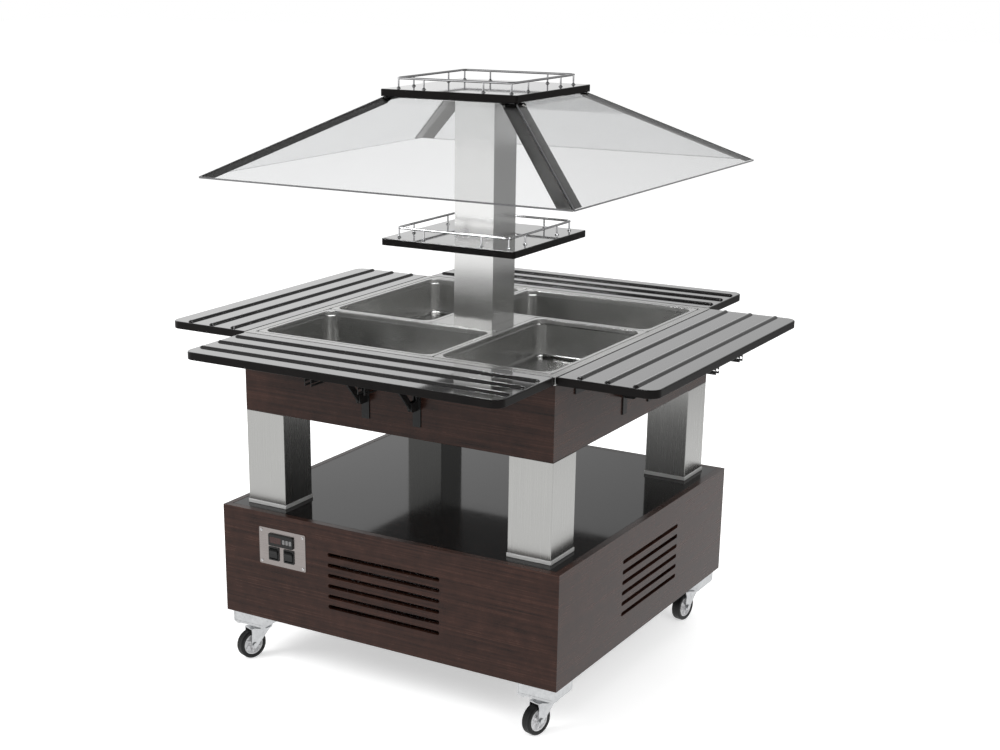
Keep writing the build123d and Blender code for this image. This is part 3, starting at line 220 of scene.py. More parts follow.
plainFinish = {
    "bumpDepth": 0.0006, "metallic": 0.0, "transmission": 0.0, "ior": 1.5, "specular": 0.5,
    "coat": 0.0, "coatRoughness": 0.05,
    "noiseRoughness": 0.62, "mottleDetail": 4,
    "roughnessSpan": (0.25, 0.75),  # the noise values that give the two ends of roughness
}
finishes = {
    "wengeLaminate": {
        "tones": ((0.006, 0.0020, 0.0013), (0.060, 0.0245, 0.0165)), "stretch": (3.2, 3.2, 210), "detail": 7,
        "contrast": (0.30, 0.78), "mottle": (26, 0.34), "roughness": (0.18, 0.32), "bump": 0.06,
        "bumpDepth": 0.0002, "specular": 0.24,
    },
    "blackGloss": {
        "tones": ((0.0020, 0.0018, 0.0018), (0.0060, 0.0054, 0.0054)), "stretch": (46, 46, 46), "detail": 4,
        "contrast": (0.35, 0.7), "mottle": (9, 0.5), "roughness": (0.045, 0.085), "bump": 0.012, "coat": 1.0,
        "ior": 1.85,
    },
    "deckGloss": {
        "tones": ((0.0020, 0.0018, 0.0018), (0.0060, 0.0054, 0.0054)), "stretch": (46, 46, 46), "detail": 4,
        "contrast": (0.35, 0.7), "mottle": (9, 0.5), "roughness": (0.05, 0.10), "bump": 0.012,
        "specular": 0.22,
    },
    "blackEdge": {
        "tones": ((0.0020, 0.0016, 0.0016), (0.0070, 0.0056, 0.0052)), "stretch": (60, 60, 700), "detail": 4,
        "contrast": (0.35, 0.7), "mottle": (30, 0.4), "roughness": (0.30, 0.42), "bump": 0.05,
        "specular": 0.12,
    },
    "brushedUpright": {
        "tones": ((0.42, 0.42, 0.41), (0.53, 0.53, 0.515)), "stretch": (1100, 1100, 4), "detail": 4,
        "contrast": (0.2, 0.8), "mottle": (5, 0.3), "roughness": (0.24, 0.29), "bump": 0.05,
        "bumpDepth": 0.00004, "metallic": 1.0,
    },
    # the posts' brushed steel toned far lighter on the column: a painted highlight standing in for the bright
    # reflection on its faces
    "columnSteel": {
        "tones": ((0.86, 0.86, 0.85), (0.96, 0.96, 0.95)), "stretch": (1100, 1100, 4), "detail": 4,
        "contrast": (0.2, 0.8), "mottle": (5, 0.3), "roughness": (0.17, 0.21), "bump": 0.05,
        "bumpDepth": 0.00004, "metallic": 1.0,
    },
    "brushedLevel": {
        "tones": ((0.48, 0.48, 0.47), (0.60, 0.60, 0.59)), "stretch": (6, 6, 900), "detail": 5,
        "contrast": (0.25, 0.75), "mottle": (8, 0.3), "roughness": (0.20, 0.27), "bump": 0.05,
        "bumpDepth": 0.00004, "metallic": 1.0,
    },
    # brushed steel toned darker and warmer than the other steel parts: painted shade on the control plate
    "plateSteel": {
        "tones": ((0.29, 0.262, 0.252), (0.40, 0.365, 0.352)), "stretch": (9, 9, 1600), "detail": 5,
        "contrast": (0.25, 0.75), "mottle": (30, 0.3), "roughness": (0.24, 0.34), "bump": 0.05,
        "bumpDepth": 0.00004, "metallic": 1.0,
    },
    "panSteel": {
        "tones": ((0.56, 0.56, 0.55), (0.70, 0.70, 0.69)), "stretch": (160, 160, 160), "detail": 5,
        "contrast": (0.3, 0.75), "mottle": (12, 0.4), "roughness": (0.20, 0.27), "bump": 0.02,
        "bumpDepth": 0.00003, "metallic": 1.0,
    },
    "footTrim": {
        "tones": ((0.58, 0.58, 0.57), (0.72, 0.72, 0.71)), "stretch": (8, 8, 900), "detail": 4,
        "contrast": (0.3, 0.7), "mottle": (30, 0.3), "roughness": (0.28, 0.38), "bump": 0.03,
        "bumpDepth": 0.00005, "metallic": 0.35,
    },
    # stainless toned very dark, at about half its own tone: painted shade on the hip bars and head plate
    "hipSteel": {
        "tones": ((0.120, 0.118, 0.114), (0.190, 0.187, 0.181)), "stretch": (300, 300, 300), "detail": 4,
        "contrast": (0.3, 0.7), "mottle": (10, 0.3), "roughness": (0.16, 0.24), "bump": 0.03,
        "bumpDepth": 0.0001, "metallic": 1.0,
    },
    "brightWire": {
        "tones": ((0.62, 0.62, 0.63), (0.78, 0.78, 0.79)), "stretch": (120, 120, 120), "detail": 3,
        "contrast": (0.3, 0.7), "mottle": (20, 0.3), "roughness": (0.05, 0.11), "bump": 0.01, "metallic": 1.0,
    },
    "zincPlate": {
        "tones": ((0.50, 0.51, 0.52), (0.74, 0.75, 0.76)), "stretch": (140, 140, 140), "detail": 6,
        "contrast": (0.3, 0.7), "mottle": (60, 0.5), "roughness": (0.24, 0.40), "bump": 0.04,
        "bumpDepth": 0.0002, "metallic": 1.0,
    },
    "tyreRubber": {
        "tones": ((0.0035, 0.0035, 0.0036), (0.011, 0.011, 0.0115)), "stretch": (420, 420, 420), "detail": 5,
        "contrast": (0.3, 0.75), "mottle": (70, 0.4), "roughness": (0.42, 0.6), "bump": 0.15,
        "specular": 0.35,
    },
    "hubPlastic": {
        "tones": ((0.60, 0.60, 0.61), (0.78, 0.78, 0.79)), "stretch": (300, 300, 300), "detail": 4,
        "contrast": (0.3, 0.7), "mottle": (60, 0.4), "roughness": (0.30, 0.45), "bump": 0.06,
    },
    "blackPowder": {
        "tones": ((0.006, 0.006, 0.006), (0.018, 0.018, 0.018)), "stretch": (1500, 1500, 1500), "detail": 3,
        "contrast": (0.3, 0.7), "mottle": (40, 0.3), "roughness": (0.34, 0.5), "bump": 0.2, "specular": 0.3,
    },
    "clearSheet": {
        "tones": ((0.865, 0.870, 0.873), (0.905, 0.910, 0.913)), "stretch": (3, 3, 3), "detail": 3,
        "contrast": (0.3, 0.7), "mottle": (2, 0.5), "roughness": (0.0, 0.03), "bump": 0.004,
        "transmission": 1.0, "ior": 1.49,
    },
    "sheetEdge": {
        "tones": ((0.10, 0.10, 0.105), (0.20, 0.20, 0.205)), "stretch": (90, 90, 90), "detail": 3,
        "contrast": (0.3, 0.7), "mottle": (20, 0.4), "roughness": (0.25, 0.4), "bump": 0.03,
    },
    "foamBoard": {
        "tones": ((0.62, 0.55, 0.34), (0.80, 0.73, 0.50)), "stretch": (700, 700, 700), "detail": 4,
        "contrast": (0.3, 0.7), "mottle": (30, 0.3), "roughness": (0.8, 0.95), "bump": 0.3,
    },
    "copperTube": {
        "tones": ((0.50, 0.20, 0.10), (0.78, 0.40, 0.25)), "stretch": (70, 70, 70), "detail": 5,
        "contrast": (0.3, 0.75), "mottle": (25, 0.5), "roughness": (0.2, 0.4), "bump": 0.03, "metallic": 1.0,
    },
    "finAluminium": {
        "tones": ((0.52, 0.53, 0.54), (0.74, 0.75, 0.76)), "stretch": (40, 40, 900), "detail": 4,
        "contrast": (0.3, 0.7), "mottle": (30, 0.4), "roughness": (0.3, 0.45), "bump": 0.05, "metallic": 1.0,
    },
    "greyPlastic": {
        "tones": ((0.11, 0.11, 0.12), (0.18, 0.18, 0.19)), "stretch": (800, 800, 800), "detail": 3,
        "contrast": (0.3, 0.7), "mottle": (40, 0.3), "roughness": (0.4, 0.55), "bump": 0.12,
    },
    "blackPlastic": {
        "tones": ((0.004, 0.004, 0.004), (0.012, 0.012, 0.012)), "stretch": (1100, 1100, 1100), "detail": 3,
        "contrast": (0.3, 0.7), "mottle": (60, 0.3), "roughness": (0.24, 0.36), "bump": 0.08,
        "specular": 0.35,
    },
    "displayGloss": {
        "tones": ((0.022, 0.006, 0.005), (0.045, 0.014, 0.011)), "stretch": (260, 260, 260), "detail": 3,
        "contrast": (0.3, 0.7), "mottle": (60, 0.4), "roughness": (0.05, 0.10), "bump": 0.01,
    },
    "keyPlastic": {
        "tones": ((0.13, 0.13, 0.13), (0.20, 0.20, 0.20)), "stretch": (900, 900, 900), "detail": 3,
        "contrast": (0.3, 0.7), "mottle": (90, 0.3), "roughness": (0.35, 0.5), "bump": 0.08,
    },
}


def noiseOf(tree, place, stretch, detail, roughness):
    turn = tree.nodes.new("ShaderNodeMapping")
    turn.inputs["Scale"].default_value = stretch
    tree.links.new(place.outputs["Object"], turn.inputs["Vector"])
    noise = tree.nodes.new("ShaderNodeTexNoise")
    noise.inputs["Scale"].default_value = 1.0
    noise.inputs["Detail"].default_value = detail
    noise.inputs["Roughness"].default_value = roughness
    tree.links.new(turn.outputs["Vector"], noise.inputs["Vector"])
    return noise.outputs[0]


def makeFinish(name, look):
    # tone and roughness follow grain and mottling, the bump follows the grain
    look = {**plainFinish, **look}
    material = bpy.data.materials.new(name)
    material.use_nodes = True
    tree = material.node_tree
    shader = tree.nodes["Principled BSDF"]
    place = tree.nodes.new("ShaderNodeTexCoord")
    grain = noiseOf(tree, place, look["stretch"], look["detail"], look["noiseRoughness"])
    mottleScale, mottleShare = look["mottle"]
    mottle = noiseOf(tree, place, (mottleScale,) * 3, look["mottleDetail"], look["noiseRoughness"])
    mixed = mathNode(tree, "ADD", mathNode(tree, "MULTIPLY", grain, 1 - mottleShare),
                     mathNode(tree, "MULTIPLY", mottle, mottleShare))
    share = mapRange(tree, mixed, *look["contrast"], 0.0, 1.0)
    tone = tree.nodes.new("ShaderNodeMix")
    tone.data_type = "RGBA"  # the two colours are then inputs 6 and 7, the result is output 2
    tree.links.new(share, tone.inputs[0])
    tone.inputs[6].default_value = (*look["tones"][0], 1)
    tone.inputs[7].default_value = (*look["tones"][1], 1)
    tree.links.new(tone.outputs[2], shader.inputs["Base Color"])
    gloss = mapRange(tree, mixed, *look["roughnessSpan"], *look["roughness"])
    tree.links.new(gloss, shader.inputs["Roughness"])
    bump = tree.nodes.new("ShaderNodeBump")
    bump.inputs["Strength"].default_value = look["bump"]
    bump.inputs["Distance"].default_value = look["bumpDepth"]
    tree.links.new(grain, bump.inputs["Height"])
    tree.links.new(bump.outputs["Normal"], shader.inputs["Normal"])
    shader.inputs["Metallic"].default_value = look["metallic"]
    shader.inputs["Transmission Weight"].default_value = look["transmission"]
    shader.inputs["IOR"].default_value = look["ior"]
    shader.inputs["Specular IOR Level"].default_value = look["specular"]
    shader.inputs["Coat Weight"].default_value = look["coat"]
    shader.inputs["Coat Roughness"].default_value = look["coatRoughness"]
    return material


finish = {name: makeFinish(name, look) for name, look in finishes.items()}
print("finishes are made:", len(finish))


# Tools for the pieces

meshLook = {
    "mergeDistance": 1e-6,
    "crease": 35,  # degrees, as the next two; faces that meet at more keep a sharp edge
    "flatAngle": 0.5,  # faces that meet at less become one
    "bevelAngle": 30,
    "bevelSegments": 2,
    "uprightShare": 0.9,  # an axis with more than this along Z counts as upright
}


def turnZ(points, degrees):
    # points turned about the upright axis: x cos - y sin, x sin + y cos
    c, s = math.cos(math.radians(degrees)), math.sin(math.radians(degrees))
    x, y, z = points[..., 0], points[..., 1], points[..., 2]
    return np.stack([x * c - y * s, x * s + y * c, z], -1)


def gridFaces(rows, columns, loop, start):
    # quads between a point, the next in its row and the two in the row after; a loop closes each row
    r, c = np.meshgrid(np.arange(rows - 1), np.arange(columns if loop else columns - 1), indexing="ij")
    after = (c + 1) % columns
    here, beyond = r * columns, (r + 1) * columns
    quads = np.stack([here + c, here + after, beyond + after, beyond + c], -1)
    return (quads.reshape(-1, 4) + start).tolist()


def smoothFaces(mesh, crease):
    mesh.polygons.foreach_set("use_smooth", np.ones(len(mesh.polygons), bool))
    mesh.set_sharp_from_angle(angle=math.radians(crease))


def finishMesh(mesh, crease, outward):
    # doubles merged and faces turned outwards, or on an open sheet turned upwards on the whole
    work = bmesh.new()
    work.from_mesh(mesh)
    bmesh.ops.remove_doubles(work, verts=work.verts, dist=meshLook["mergeDistance"])
    if outward:
        bmesh.ops.recalc_face_normals(work, faces=work.faces)
    elif sum(face.normal.z * face.calc_area() for face in work.faces) < 0:
        bmesh.ops.reverse_faces(work, faces=work.faces)
    work.to_mesh(mesh)
    work.free()
    smoothFaces(mesh, crease)


def dress(name, mesh, material, body, replaced):
    piece = bpy.data.objects.new(name, mesh)
    bpy.context.scene.collection.objects.link(piece)
    mesh.materials.append(finish[material])
    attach(piece, body)
    if replaced:
        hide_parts(*replaced)
    return piece


def evenNormals(piece):
    weighted = piece.modifiers.new("evenNormals", "WEIGHTED_NORMAL")
    weighted.keep_sharp = True


def easeEdges(piece, width):
    bevel = piece.modifiers.new("easedEdges", "BEVEL")
    bevel.width = width
    bevel.segments = meshLook["bevelSegments"]
    bevel.limit_method = "ANGLE"
    bevel.angle_limit = math.radians(meshLook["bevelAngle"])
    bevel.harden_normals = False
    evenNormals(piece)


def makePiece(name, surfaces, material, body, replaced=(), crease=meshLook["crease"], wall=0.0,
              outward=True):
    # surfaces: grids of points with whether each row closes on itself and which end rows get a lid
    points, faces, start = [], [], 0
    for grid, loop, lids in surfaces:
        rows, columns = grid.shape[:2]
        faces += gridFaces(rows, columns, loop, start)
        if lids in ("first", "both"):
            faces.append(list(range(start + columns - 1, start - 1, -1)))
        if lids in ("last", "both"):
            faces.append(list(range(start + (rows - 1) * columns, start + rows * columns)))
        points.append(grid.reshape(-1, 3))
        start += rows * columns
    mesh = bpy.data.meshes.new(name)
    mesh.from_pydata(np.concatenate(points).tolist(), [], faces)
    finishMesh(mesh, crease, outward)
    piece = dress(name, mesh, material, body, replaced)
    if wall:
        thick = piece.modifiers.new("wall", "SOLIDIFY")
        thick.thickness = wall
        thick.offset = -1
    evenNormals(piece)


def meshOf(node):
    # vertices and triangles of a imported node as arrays
    source = frame["nodes"][node].data
    places = np.empty(len(source.vertices) * 3, np.float32)
    source.vertices.foreach_get("co", places)
    ends = np.empty(len(source.loops), np.int32)
    source.loops.foreach_get("vertex_index", ends)
    return places.reshape(-1, 3).astype(float), ends.reshape(-1, 3)


def faceValues(mesh, name):
    values = np.empty(len(mesh.polygons) * 3, np.float32)
    mesh.polygons.foreach_get(name, values)
    return values.reshape(-1, 3)


def easedCopy(node, material, width):
    # the node's own shape, merged into whole faces and with its edges broken;
    # a second finish goes on the faces that its rule picks by their centres and normals
    places, triangles = meshOf(node)
    mesh = bpy.data.meshes.new(node + "_eased")
    mesh.from_pydata(places.tolist(), [], triangles.tolist())
    work = bmesh.new()
    work.from_mesh(mesh)
    bmesh.ops.remove_doubles(work, verts=work.verts, dist=meshLook["mergeDistance"])
    flat = math.radians(meshLook["flatAngle"])
    bmesh.ops.dissolve_limit(work, angle_limit=flat, verts=work.verts, edges=work.edges)
    work.to_mesh(mesh)
    work.free()
    smoothFaces(mesh, meshLook["crease"])
    piece = dress(node + "_eased", mesh, material, bodyOf[node], [node])
    if node in secondFinish:
        other, rule = secondFinish[node]
        mesh.materials.append(finish[other])
        chosen = rule(faceValues(mesh, "center"), faceValues(mesh, "normal"))
        mesh.polygons.foreach_set("material_index", chosen.astype(np.int32))
    easeEdges(piece, width)


def revolve(profile, centre, axis, count):
    # profile rows are (distance from the axis, place along it); each is carried round the axis
    axis = np.array(axis, float) / np.linalg.norm(axis)
    across = np.cross(axis, (0.0, 0.0, 1.0) if abs(axis[2]) < meshLook["uprightShare"] else (1.0, 0.0, 0.0))
    across /= np.linalg.norm(across)
    third = np.cross(axis, across)
    angles = np.linspace(0, 2 * math.pi, count, endpoint=False)
    ring = np.cos(angles)[:, None] * across + np.sin(angles)[:, None] * third
    profile = np.array(profile, float)
    return np.array(centre) + profile[:, 0, None, None] * ring[None] + profile[:, 1, None, None] * axis


def arc(centre, radius, fromDegrees, toDegrees, steps):
    # points on an arc of the profile plane
    angles = np.radians(np.linspace(fromDegrees, toDegrees, steps))
    return np.stack([centre[0] + radius * np.cos(angles), centre[1] + radius * np.sin(angles)], -1)


def roundedLoop(halfX, halfY, radius, steps):
    # outline of a rectangle with round corners, four arcs of equal step count; sizes may be arrays of rows
    halfX, halfY, radius = (np.atleast_1d(np.array(v, float)) for v in (halfX, halfY, radius))
    rows = max(len(halfX), len(halfY), len(radius))
    angles = np.radians(np.linspace(0, 90, steps))
    loops = []
    for turn, (sx, sy) in enumerate(((1, 1), (-1, 1), (-1, -1), (1, -1))):
        a = angles + turn * math.pi / 2
        x = (sx * (halfX - radius))[:, None] + radius[:, None] * np.cos(a)
        y = (sy * (halfY - radius))[:, None] + radius[:, None] * np.sin(a)
        loops.append(np.stack(np.broadcast_arrays(x, y), -1) * np.ones((rows, 1, 1)))
    return np.concatenate(loops, 1)


def stackLoops(halfX, halfY, radius, heights, steps, centre=(0, 0)):
    # rounded outlines laid one over another at their heights
    flat = roundedLoop(halfX, halfY, radius, steps)
    z = np.broadcast_to(np.array(heights, float)[:, None, None], (*flat.shape[:2], 1))
    return np.concatenate([flat + np.array(centre), z], -1)


def carryCircle(path, radius, count):
    # circle carried along a closed path of points; its plane stands square to the path
    ahead = np.roll(path, -1, 0) - np.roll(path, 1, 0)
    ahead /= np.linalg.norm(ahead, axis=1)[:, None]
    up = np.array((0.0, 0.0, 1.0))
    out = np.cross(ahead, up)
    angles = np.linspace(0, 2 * math.pi, count, endpoint=False)
    return path[:, None] + radius * (np.cos(angles)[:, None] * out[:, None] + np.sin(angles)[:, None] * up)


# Carried-over nodes with broken edges: the width of the break, and where a second finish goes

ruleLook = {
    "topShare": 0.5,  # a face whose normal has less than this upwards isn't a top
    "boardMargin": 0.0005,  # how far under the board's top a face's centre is
    "panelMargin": 0.0001,  # and how far under the base panels
    "collarReach": 0.0101,  # from the posts' foot
}


def upright(centres, normals):
    # cut edges of the sheets
    return np.abs(normals[:, 2]) < ruleLook["topShare"]


def shelfUnder(centres, normals):
    # all but the top face
    return normals[:, 2] < ruleLook["topShare"]


def boardUnder(centres, normals):
    # the board's own side and underside, not the flanks of its ribs
    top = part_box("top_frame")[1].z - ruleLook["boardMargin"]
    return (normals[:, 2] < ruleLook["topShare"]) & (centres[:, 2] < top)


def underFloor(centres, normals):
    # castor carriers, which stand lower than the base panels
    return centres[:, 2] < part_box("panel_front")[0].z - ruleLook["panelMargin"]


def footBand(centres, normals):
    # foot collars of the posts, which stand out past the posts' sides on the deck
    return centres[:, 2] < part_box("posts")[0].z + ruleLook["collarReach"]


eased = {
    "wengeLaminate": dict.fromkeys([f"panel_{side}" for side in sides] + ["apron_panels"], 0.0012),
    "blackGloss": {"mid_shelf": 0.0008, "top_shelf": 0.0008},
    "deckGloss": {"deck": 0.0010},
    "brushedUpright": {"posts": 0.0016},
    # the column takes the lightened steel, a painted highlight
    "columnSteel": {"column": 0.0014},
    "brushedLevel": {"top_frame": 0.0008, "centre_cover": 0.0006, "pan_supports": 0.0006,
                     "well_tank": 0.0004},
    # the control plate takes the darkened steel, a painted shade
    "plateSteel": {"control_plate": 0.0004},
    "zincPlate": {"castor_plates": 0.0004},
    "blackPowder": {"slide_brackets": 0.0004, "base_frame": 0.0006, "electric_box": 0.0005,
                    "compressor": 0.0008},
    "greyPlastic": {"drain": 0.0004, "fan": 0.0003},
    "blackPlastic": {"control_housings": 0.0005, "rocker_power": 0.0005, "rocker_cooling": 0.0005},
    "keyPlastic": {"key_set": 0.0006, "key_down": 0.0006, "key_up": 0.0006},
    "clearSheet": {"canopy_panels": 0.0008},
}
secondFinish = {"posts": ("footTrim", footBand), "mid_shelf": ("blackEdge", shelfUnder),
                "top_shelf": ("blackEdge", shelfUnder), "base_frame": ("zincPlate", underFloor),
                "canopy_panels": ("sheetEdge", upright)}
for side in sides:
    eased["blackGloss"][f"tray_slide_{side}"] = 0.0008
    eased["blackPowder"][f"slide_arms_{side}"] = 0.0003
    eased["blackPowder"][f"slide_braces_{side}"] = 0.0004
    secondFinish[f"tray_slide_{side}"] = ("blackEdge", boardUnder)
for corner in corners:
    eased["zincPlate"][f"castor_fork_{corner}"] = 0.0004
for material, group in eased.items():
    for node, width in group.items():
        easedCopy(node, material, width)
print("eased copies are made")


# Nodes that keep their own mesh and only take a finish

painted = {"insulation": "foamBoard", "pipework": "copperTube", "condenser": "finAluminium"}
for node, material in painted.items():
    frame["nodes"][node].material_slots[0].material = finish[material]
print("hidden nodes are painted")


# Gastronorm pans: a rolled lip, a flat rim, a stacking shoulder and a tapered tub as one sheet

panLook = {
    "lipDepth": 0.0038, "lipRound": 0.0016, "rimWidth": 0.0118, "mouthRound": 0.0022, "bottomRound": 0.012,
    "arcSteps": (6, 5, 7),  # of the lip, the mouth and the bottom
    "rimCorner": 0.0140, "tubCorner": 0.030, "cornerTighten": (0.3, 0.15), "steps": 9,
    "shoulderDrop": 0.011, "shoulderStep": 0.0016, "shoulderFall": (0.002, 0.006),
    "depth": 0.099, "taper": 3.0, "sheet": 0.0009,
    "floorRings": (0.75, 0.45, 0.0), "crown": 0.0006,  # the bottom closes over these loops, a little crowned
}


def panProfile(look):
    # inset from the rim's edge and height under it, from the lip over the rim and down the wall to the bottom
    r, m, b = look["lipRound"], look["mouthRound"], look["bottomRound"]
    lipSteps, mouthSteps, bottomSteps = look["arcSteps"]
    lip = [(0, -look["lipDepth"])] + [tuple(p) for p in arc((r, -r), r, 180, 90, lipSteps)]
    mouth = [tuple(p) for p in arc((look["rimWidth"] - m, -m), m, 90, 0, mouthSteps)]
    slope = math.tan(math.radians(look["taper"]))
    shoulder, step = look["shoulderDrop"], look["shoulderStep"]
    stepTop, stepEnd = (shoulder + fall for fall in look["shoulderFall"])
    drops = ((shoulder, 0), (stepTop, step), (stepEnd, step), (look["depth"] - b, step))
    wall = [(look["rimWidth"] + out + slope * drop, -drop) for drop, out in drops]
    floor = wall[-1][0]
    bottom = [tuple(p) for p in arc((floor + b, -look["depth"] + b), b, 180, 270, bottomSteps)][1:]
    return np.array(lip + mouth + wall + bottom)


def makePan(side, look):
    # a rounded outline for each point of the profile, its corner radius falling with the inset
    low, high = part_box(f"pan_{side}")
    half = np.array([(high.x - low.x) / 2, (high.y - low.y) / 2])
    centre = ((high.x + low.x) / 2, (high.y + low.y) / 2)
    profile = panProfile(look)
    inset, drop = profile[:, 0], profile[:, 1]
    rimShare, tubShare = look["cornerTighten"]
    corner = np.where(inset < look["rimWidth"] - look["mouthRound"], look["rimCorner"] - rimShare * inset,
                      look["tubCorner"] - tubShare * (inset - look["rimWidth"]))
    rows = stackLoops(half[0] - inset, half[1] - inset, corner, high.z + drop, look["steps"], centre)
    shrink = np.array(look["floorRings"])
    last = rows[-1]
    middle = np.array([centre[0], centre[1], last[0, 2] + look["crown"]])
    bottom = middle + (last - middle) * shrink[:, None, None]
    makePiece(f"gastronormPan_{side}", [(np.concatenate([rows, bottom]), True, "")], "panSteel",
              f"pan_{side}", [f"pan_{side}"], wall=look["sheet"], outward=False)


for side in sides:
    makePan(side, panLook)
print("pans are made")


# Canopy hips: a bar is a folded strip whose two flanges lie under the sheets, pressed flat at the head plate

hipLook = {
    "flange": 0.030, "gap": 0.0004, "sheet": 0.0022, "setback": 0.005, "crease": 25,
    "tab": 0.060, "tabRun": 0.004, "tabFold": 0.006,
    "plateHalf": 0.165, "plateThick": 0.004, "plateRound": 0.004, "plateEase": 0.0006, "plateSteps": 6,
    "sheetThick": 0.0027, "sheetDrop": 0.0006, "sheetTop": 0.178,  # of the clear sheets
}


def unit(vector):
    return vector / np.linalg.norm(vector)


def hipSection(place, along, normals, flat, look, lead=0.0):
    # six points round a folded strip at a place of the hip: left flange, ridge, right flange and back under;
    # flat turns the flanges from the sheets' slopes to level, lead moves their outer edges along the hip
    middle = unit(normals[0] + normals[1])
    over, under = [], []
    for normal, sign in ((normals[0], -1), (normals[1], 1)):
        across = unit(np.cross(along, middle)) * sign
        lean = unit(across - np.dot(across, normal) * normal)
        lean = unit(lean * (1 - flat) + across * flat)
        up = unit(middle * flat + normal * (1 - flat)) if flat < 1 else np.array((0.0, 0.0, 1.0))
        outer = place + lean * look["flange"] + along * lead
        over.append(outer - up * look["gap"])
        under.append(outer - up * (look["gap"] + look["sheet"]))
    rise = np.array((0.0, 0.0, 1.0)) if flat == 1 else middle
    ridge = place - rise * look["gap"]
    return np.array([over[0], ridge, over[1], under[1], ridge - rise * look["sheet"], under[0]])


def hipBar(look):
    # front right bar; the hip line is where the undersides of two sheets meet,
    # and its low end is cut along the two rims: the lead is the flange times the cotangent of hip against rim
    low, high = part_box("canopy_panels")
    rim, rimZ = high.x - look["sheetThick"], low.z + look["sheetDrop"]
    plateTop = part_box("hip_bars")[1].z
    top = plateTop - look["plateThick"]
    slope = (plateTop - rimZ) / (rim - look["sheetTop"])
    normals = (unit(np.array([0, -slope, 1.0])), unit(np.array([slope, 0, 1.0])))
    along = unit(np.array([-1.0, 1.0, slope]))
    lead = look["flange"] * along[1] / math.sqrt(1 - along[1] ** 2)
    reach = (top - rimZ) / slope
    foot, bend = ([rim - d, d - rim, rimZ + d * slope] for d in (look["setback"], reach - look["tabRun"]))
    level = unit(np.array([-1.0, 1.0, 0.0]))
    fold = rim - reach - look["tabFold"]
    tabStart = np.array([fold, -fold, top])
    sections = [hipSection(np.array(foot), along, normals, 0.0, look, lead),
                hipSection(np.array(bend), along, normals, 0.0, look)]
    sections += [hipSection(place, level, (np.array((0, 0, 1.0)),) * 2, 1.0, look)
                 for place in (tabStart, tabStart + level * look["tab"])]
    return np.array(sections)


def makeHips(look):
    # four bars turned about the column, and the head plate as rounded outlines laid one over another
    bars = [(turnZ(hipBar(look), turn), True, "both") for turn in sides.values()]
    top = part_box("hip_bars")[1].z
    half, r = look["plateHalf"], look["plateEase"]
    inset = np.array([r, 0, 0, r])
    heights = top - look["plateThick"] + np.array([0, r, look["plateThick"] - r, look["plateThick"]])
    corner = np.full(len(inset), look["plateRound"])
    plate = stackLoops(half - inset, half - inset, corner, heights, look["plateSteps"])
    # the bars and plate take the darkened steel, a painted shade
    makePiece("hipBars", bars + [(plate, True, "both")], "hipSteel", "island",
              ["hip_bars"], crease=look["crease"])


makeHips(hipLook)
print("canopy hips are made")


# Gallery rails: a bright wire loop on twelve short posts with flared feet, over each shelf

railLook = {"wire": 0.0030, "height": 0.025, "corner": 0.012, "cornerSteps": 10, "ringSteps": 14,
            "post": 0.0024, "postOffset": 0.085, "postSteps": 16,
            "foot": 0.0058, "footEdge": 0.0008, "footRound": (0.8, 0.0018), "footHeight": 0.0035,
            "neck": 1.25, "neckRise": 0.0015}


def railSurfaces(shelf, look):
    # a circle carried round the shelf, and a flared profile turned round each post's axis
    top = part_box(shelf)[1].z
    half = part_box("gallery_rails")[1].x - look["wire"]
    z = top + look["height"]
    loop = roundedLoop(half, half, look["corner"], look["cornerSteps"])[0]
    path = np.concatenate([loop, np.full((len(loop), 1), z)], 1)
    ring = carryCircle(path, look["wire"], look["ringSteps"])
    surfaces = [(np.concatenate([ring, ring[:1]]), True, "")]
    diagonal = half - look["corner"] * (1 - math.sqrt(0.5))
    places = [(i * diagonal, j * diagonal) for i in (-1, 1) for j in (-1, 1)]
    for i in (-1, 1):
        for j in (-1, 1):
            places += [(i * look["postOffset"], j * half), (i * half, j * look["postOffset"])]
    foot, post, neckTop = look["foot"], look["post"], look["footHeight"] + look["neckRise"]
    roundShare, roundTop = look["footRound"]
    flare = [(0, 0), (foot, 0), (foot, look["footEdge"]), (foot * roundShare, roundTop),
             (post * look["neck"], look["footHeight"]), (post, neckTop), (post, z - top)]
    for x, y in places:
        surfaces.append((revolve(flare, (x, y, top), (0, 0, 1), look["postSteps"]), True, ""))
    return surfaces


makePiece("galleryRails", railSurfaces("mid_shelf", railLook) + railSurfaces("top_shelf", railLook),
          "brightWire", "island", ["gallery_rails"])
print("gallery rails are made")


# Castor wheels: a rounded tyre with a tread line, and a hub whose two faces have ribs between rim and boss

wheelLook = {
    "radius": 0.040, "width": 0.025, "round": 0.0045, "roundSteps": 7, "around": 72, "tyreCrease": 50,
    # depth under the radius and share of the half width, from the shoulder to the middle of the tread
    "tread": ((0.0002, 0.30), (0.0006, 0.27), (0.0006, 0.21), (0.0001, 0.18), (0.0, 0.0)),
    # height over the tyre's inner radius and share of the half width, out to the shoulder
    "sideSteps": ((0.0, 0.84), (0.0, 0.93), (0.0018, 0.97), (0.0030, 1.0)),
    "tyreInner": 0.0292, "hubCrease": 32, "bore": 0.0041,
    "bossRadius": 0.011, "bossHalf": 0.0138, "bossEase": 0.0008, "bossFoot": 0.0012,
    "webHalf": 0.0035, "webSteps": 8, "hubRim": 0.0105, "rimEase": 0.0008,
    # measured inwards from the tyre's inner radius
    "webEnd": 0.0042, "rimInner": 0.0034, "rimOuter": 0.0006, "seamWidth": 0.0001,
    "ribs": 6, "ribRaise": 4.2, "ribFall": 26, "ribRadius": 0.02, "ribDrop": 0.0018,
}


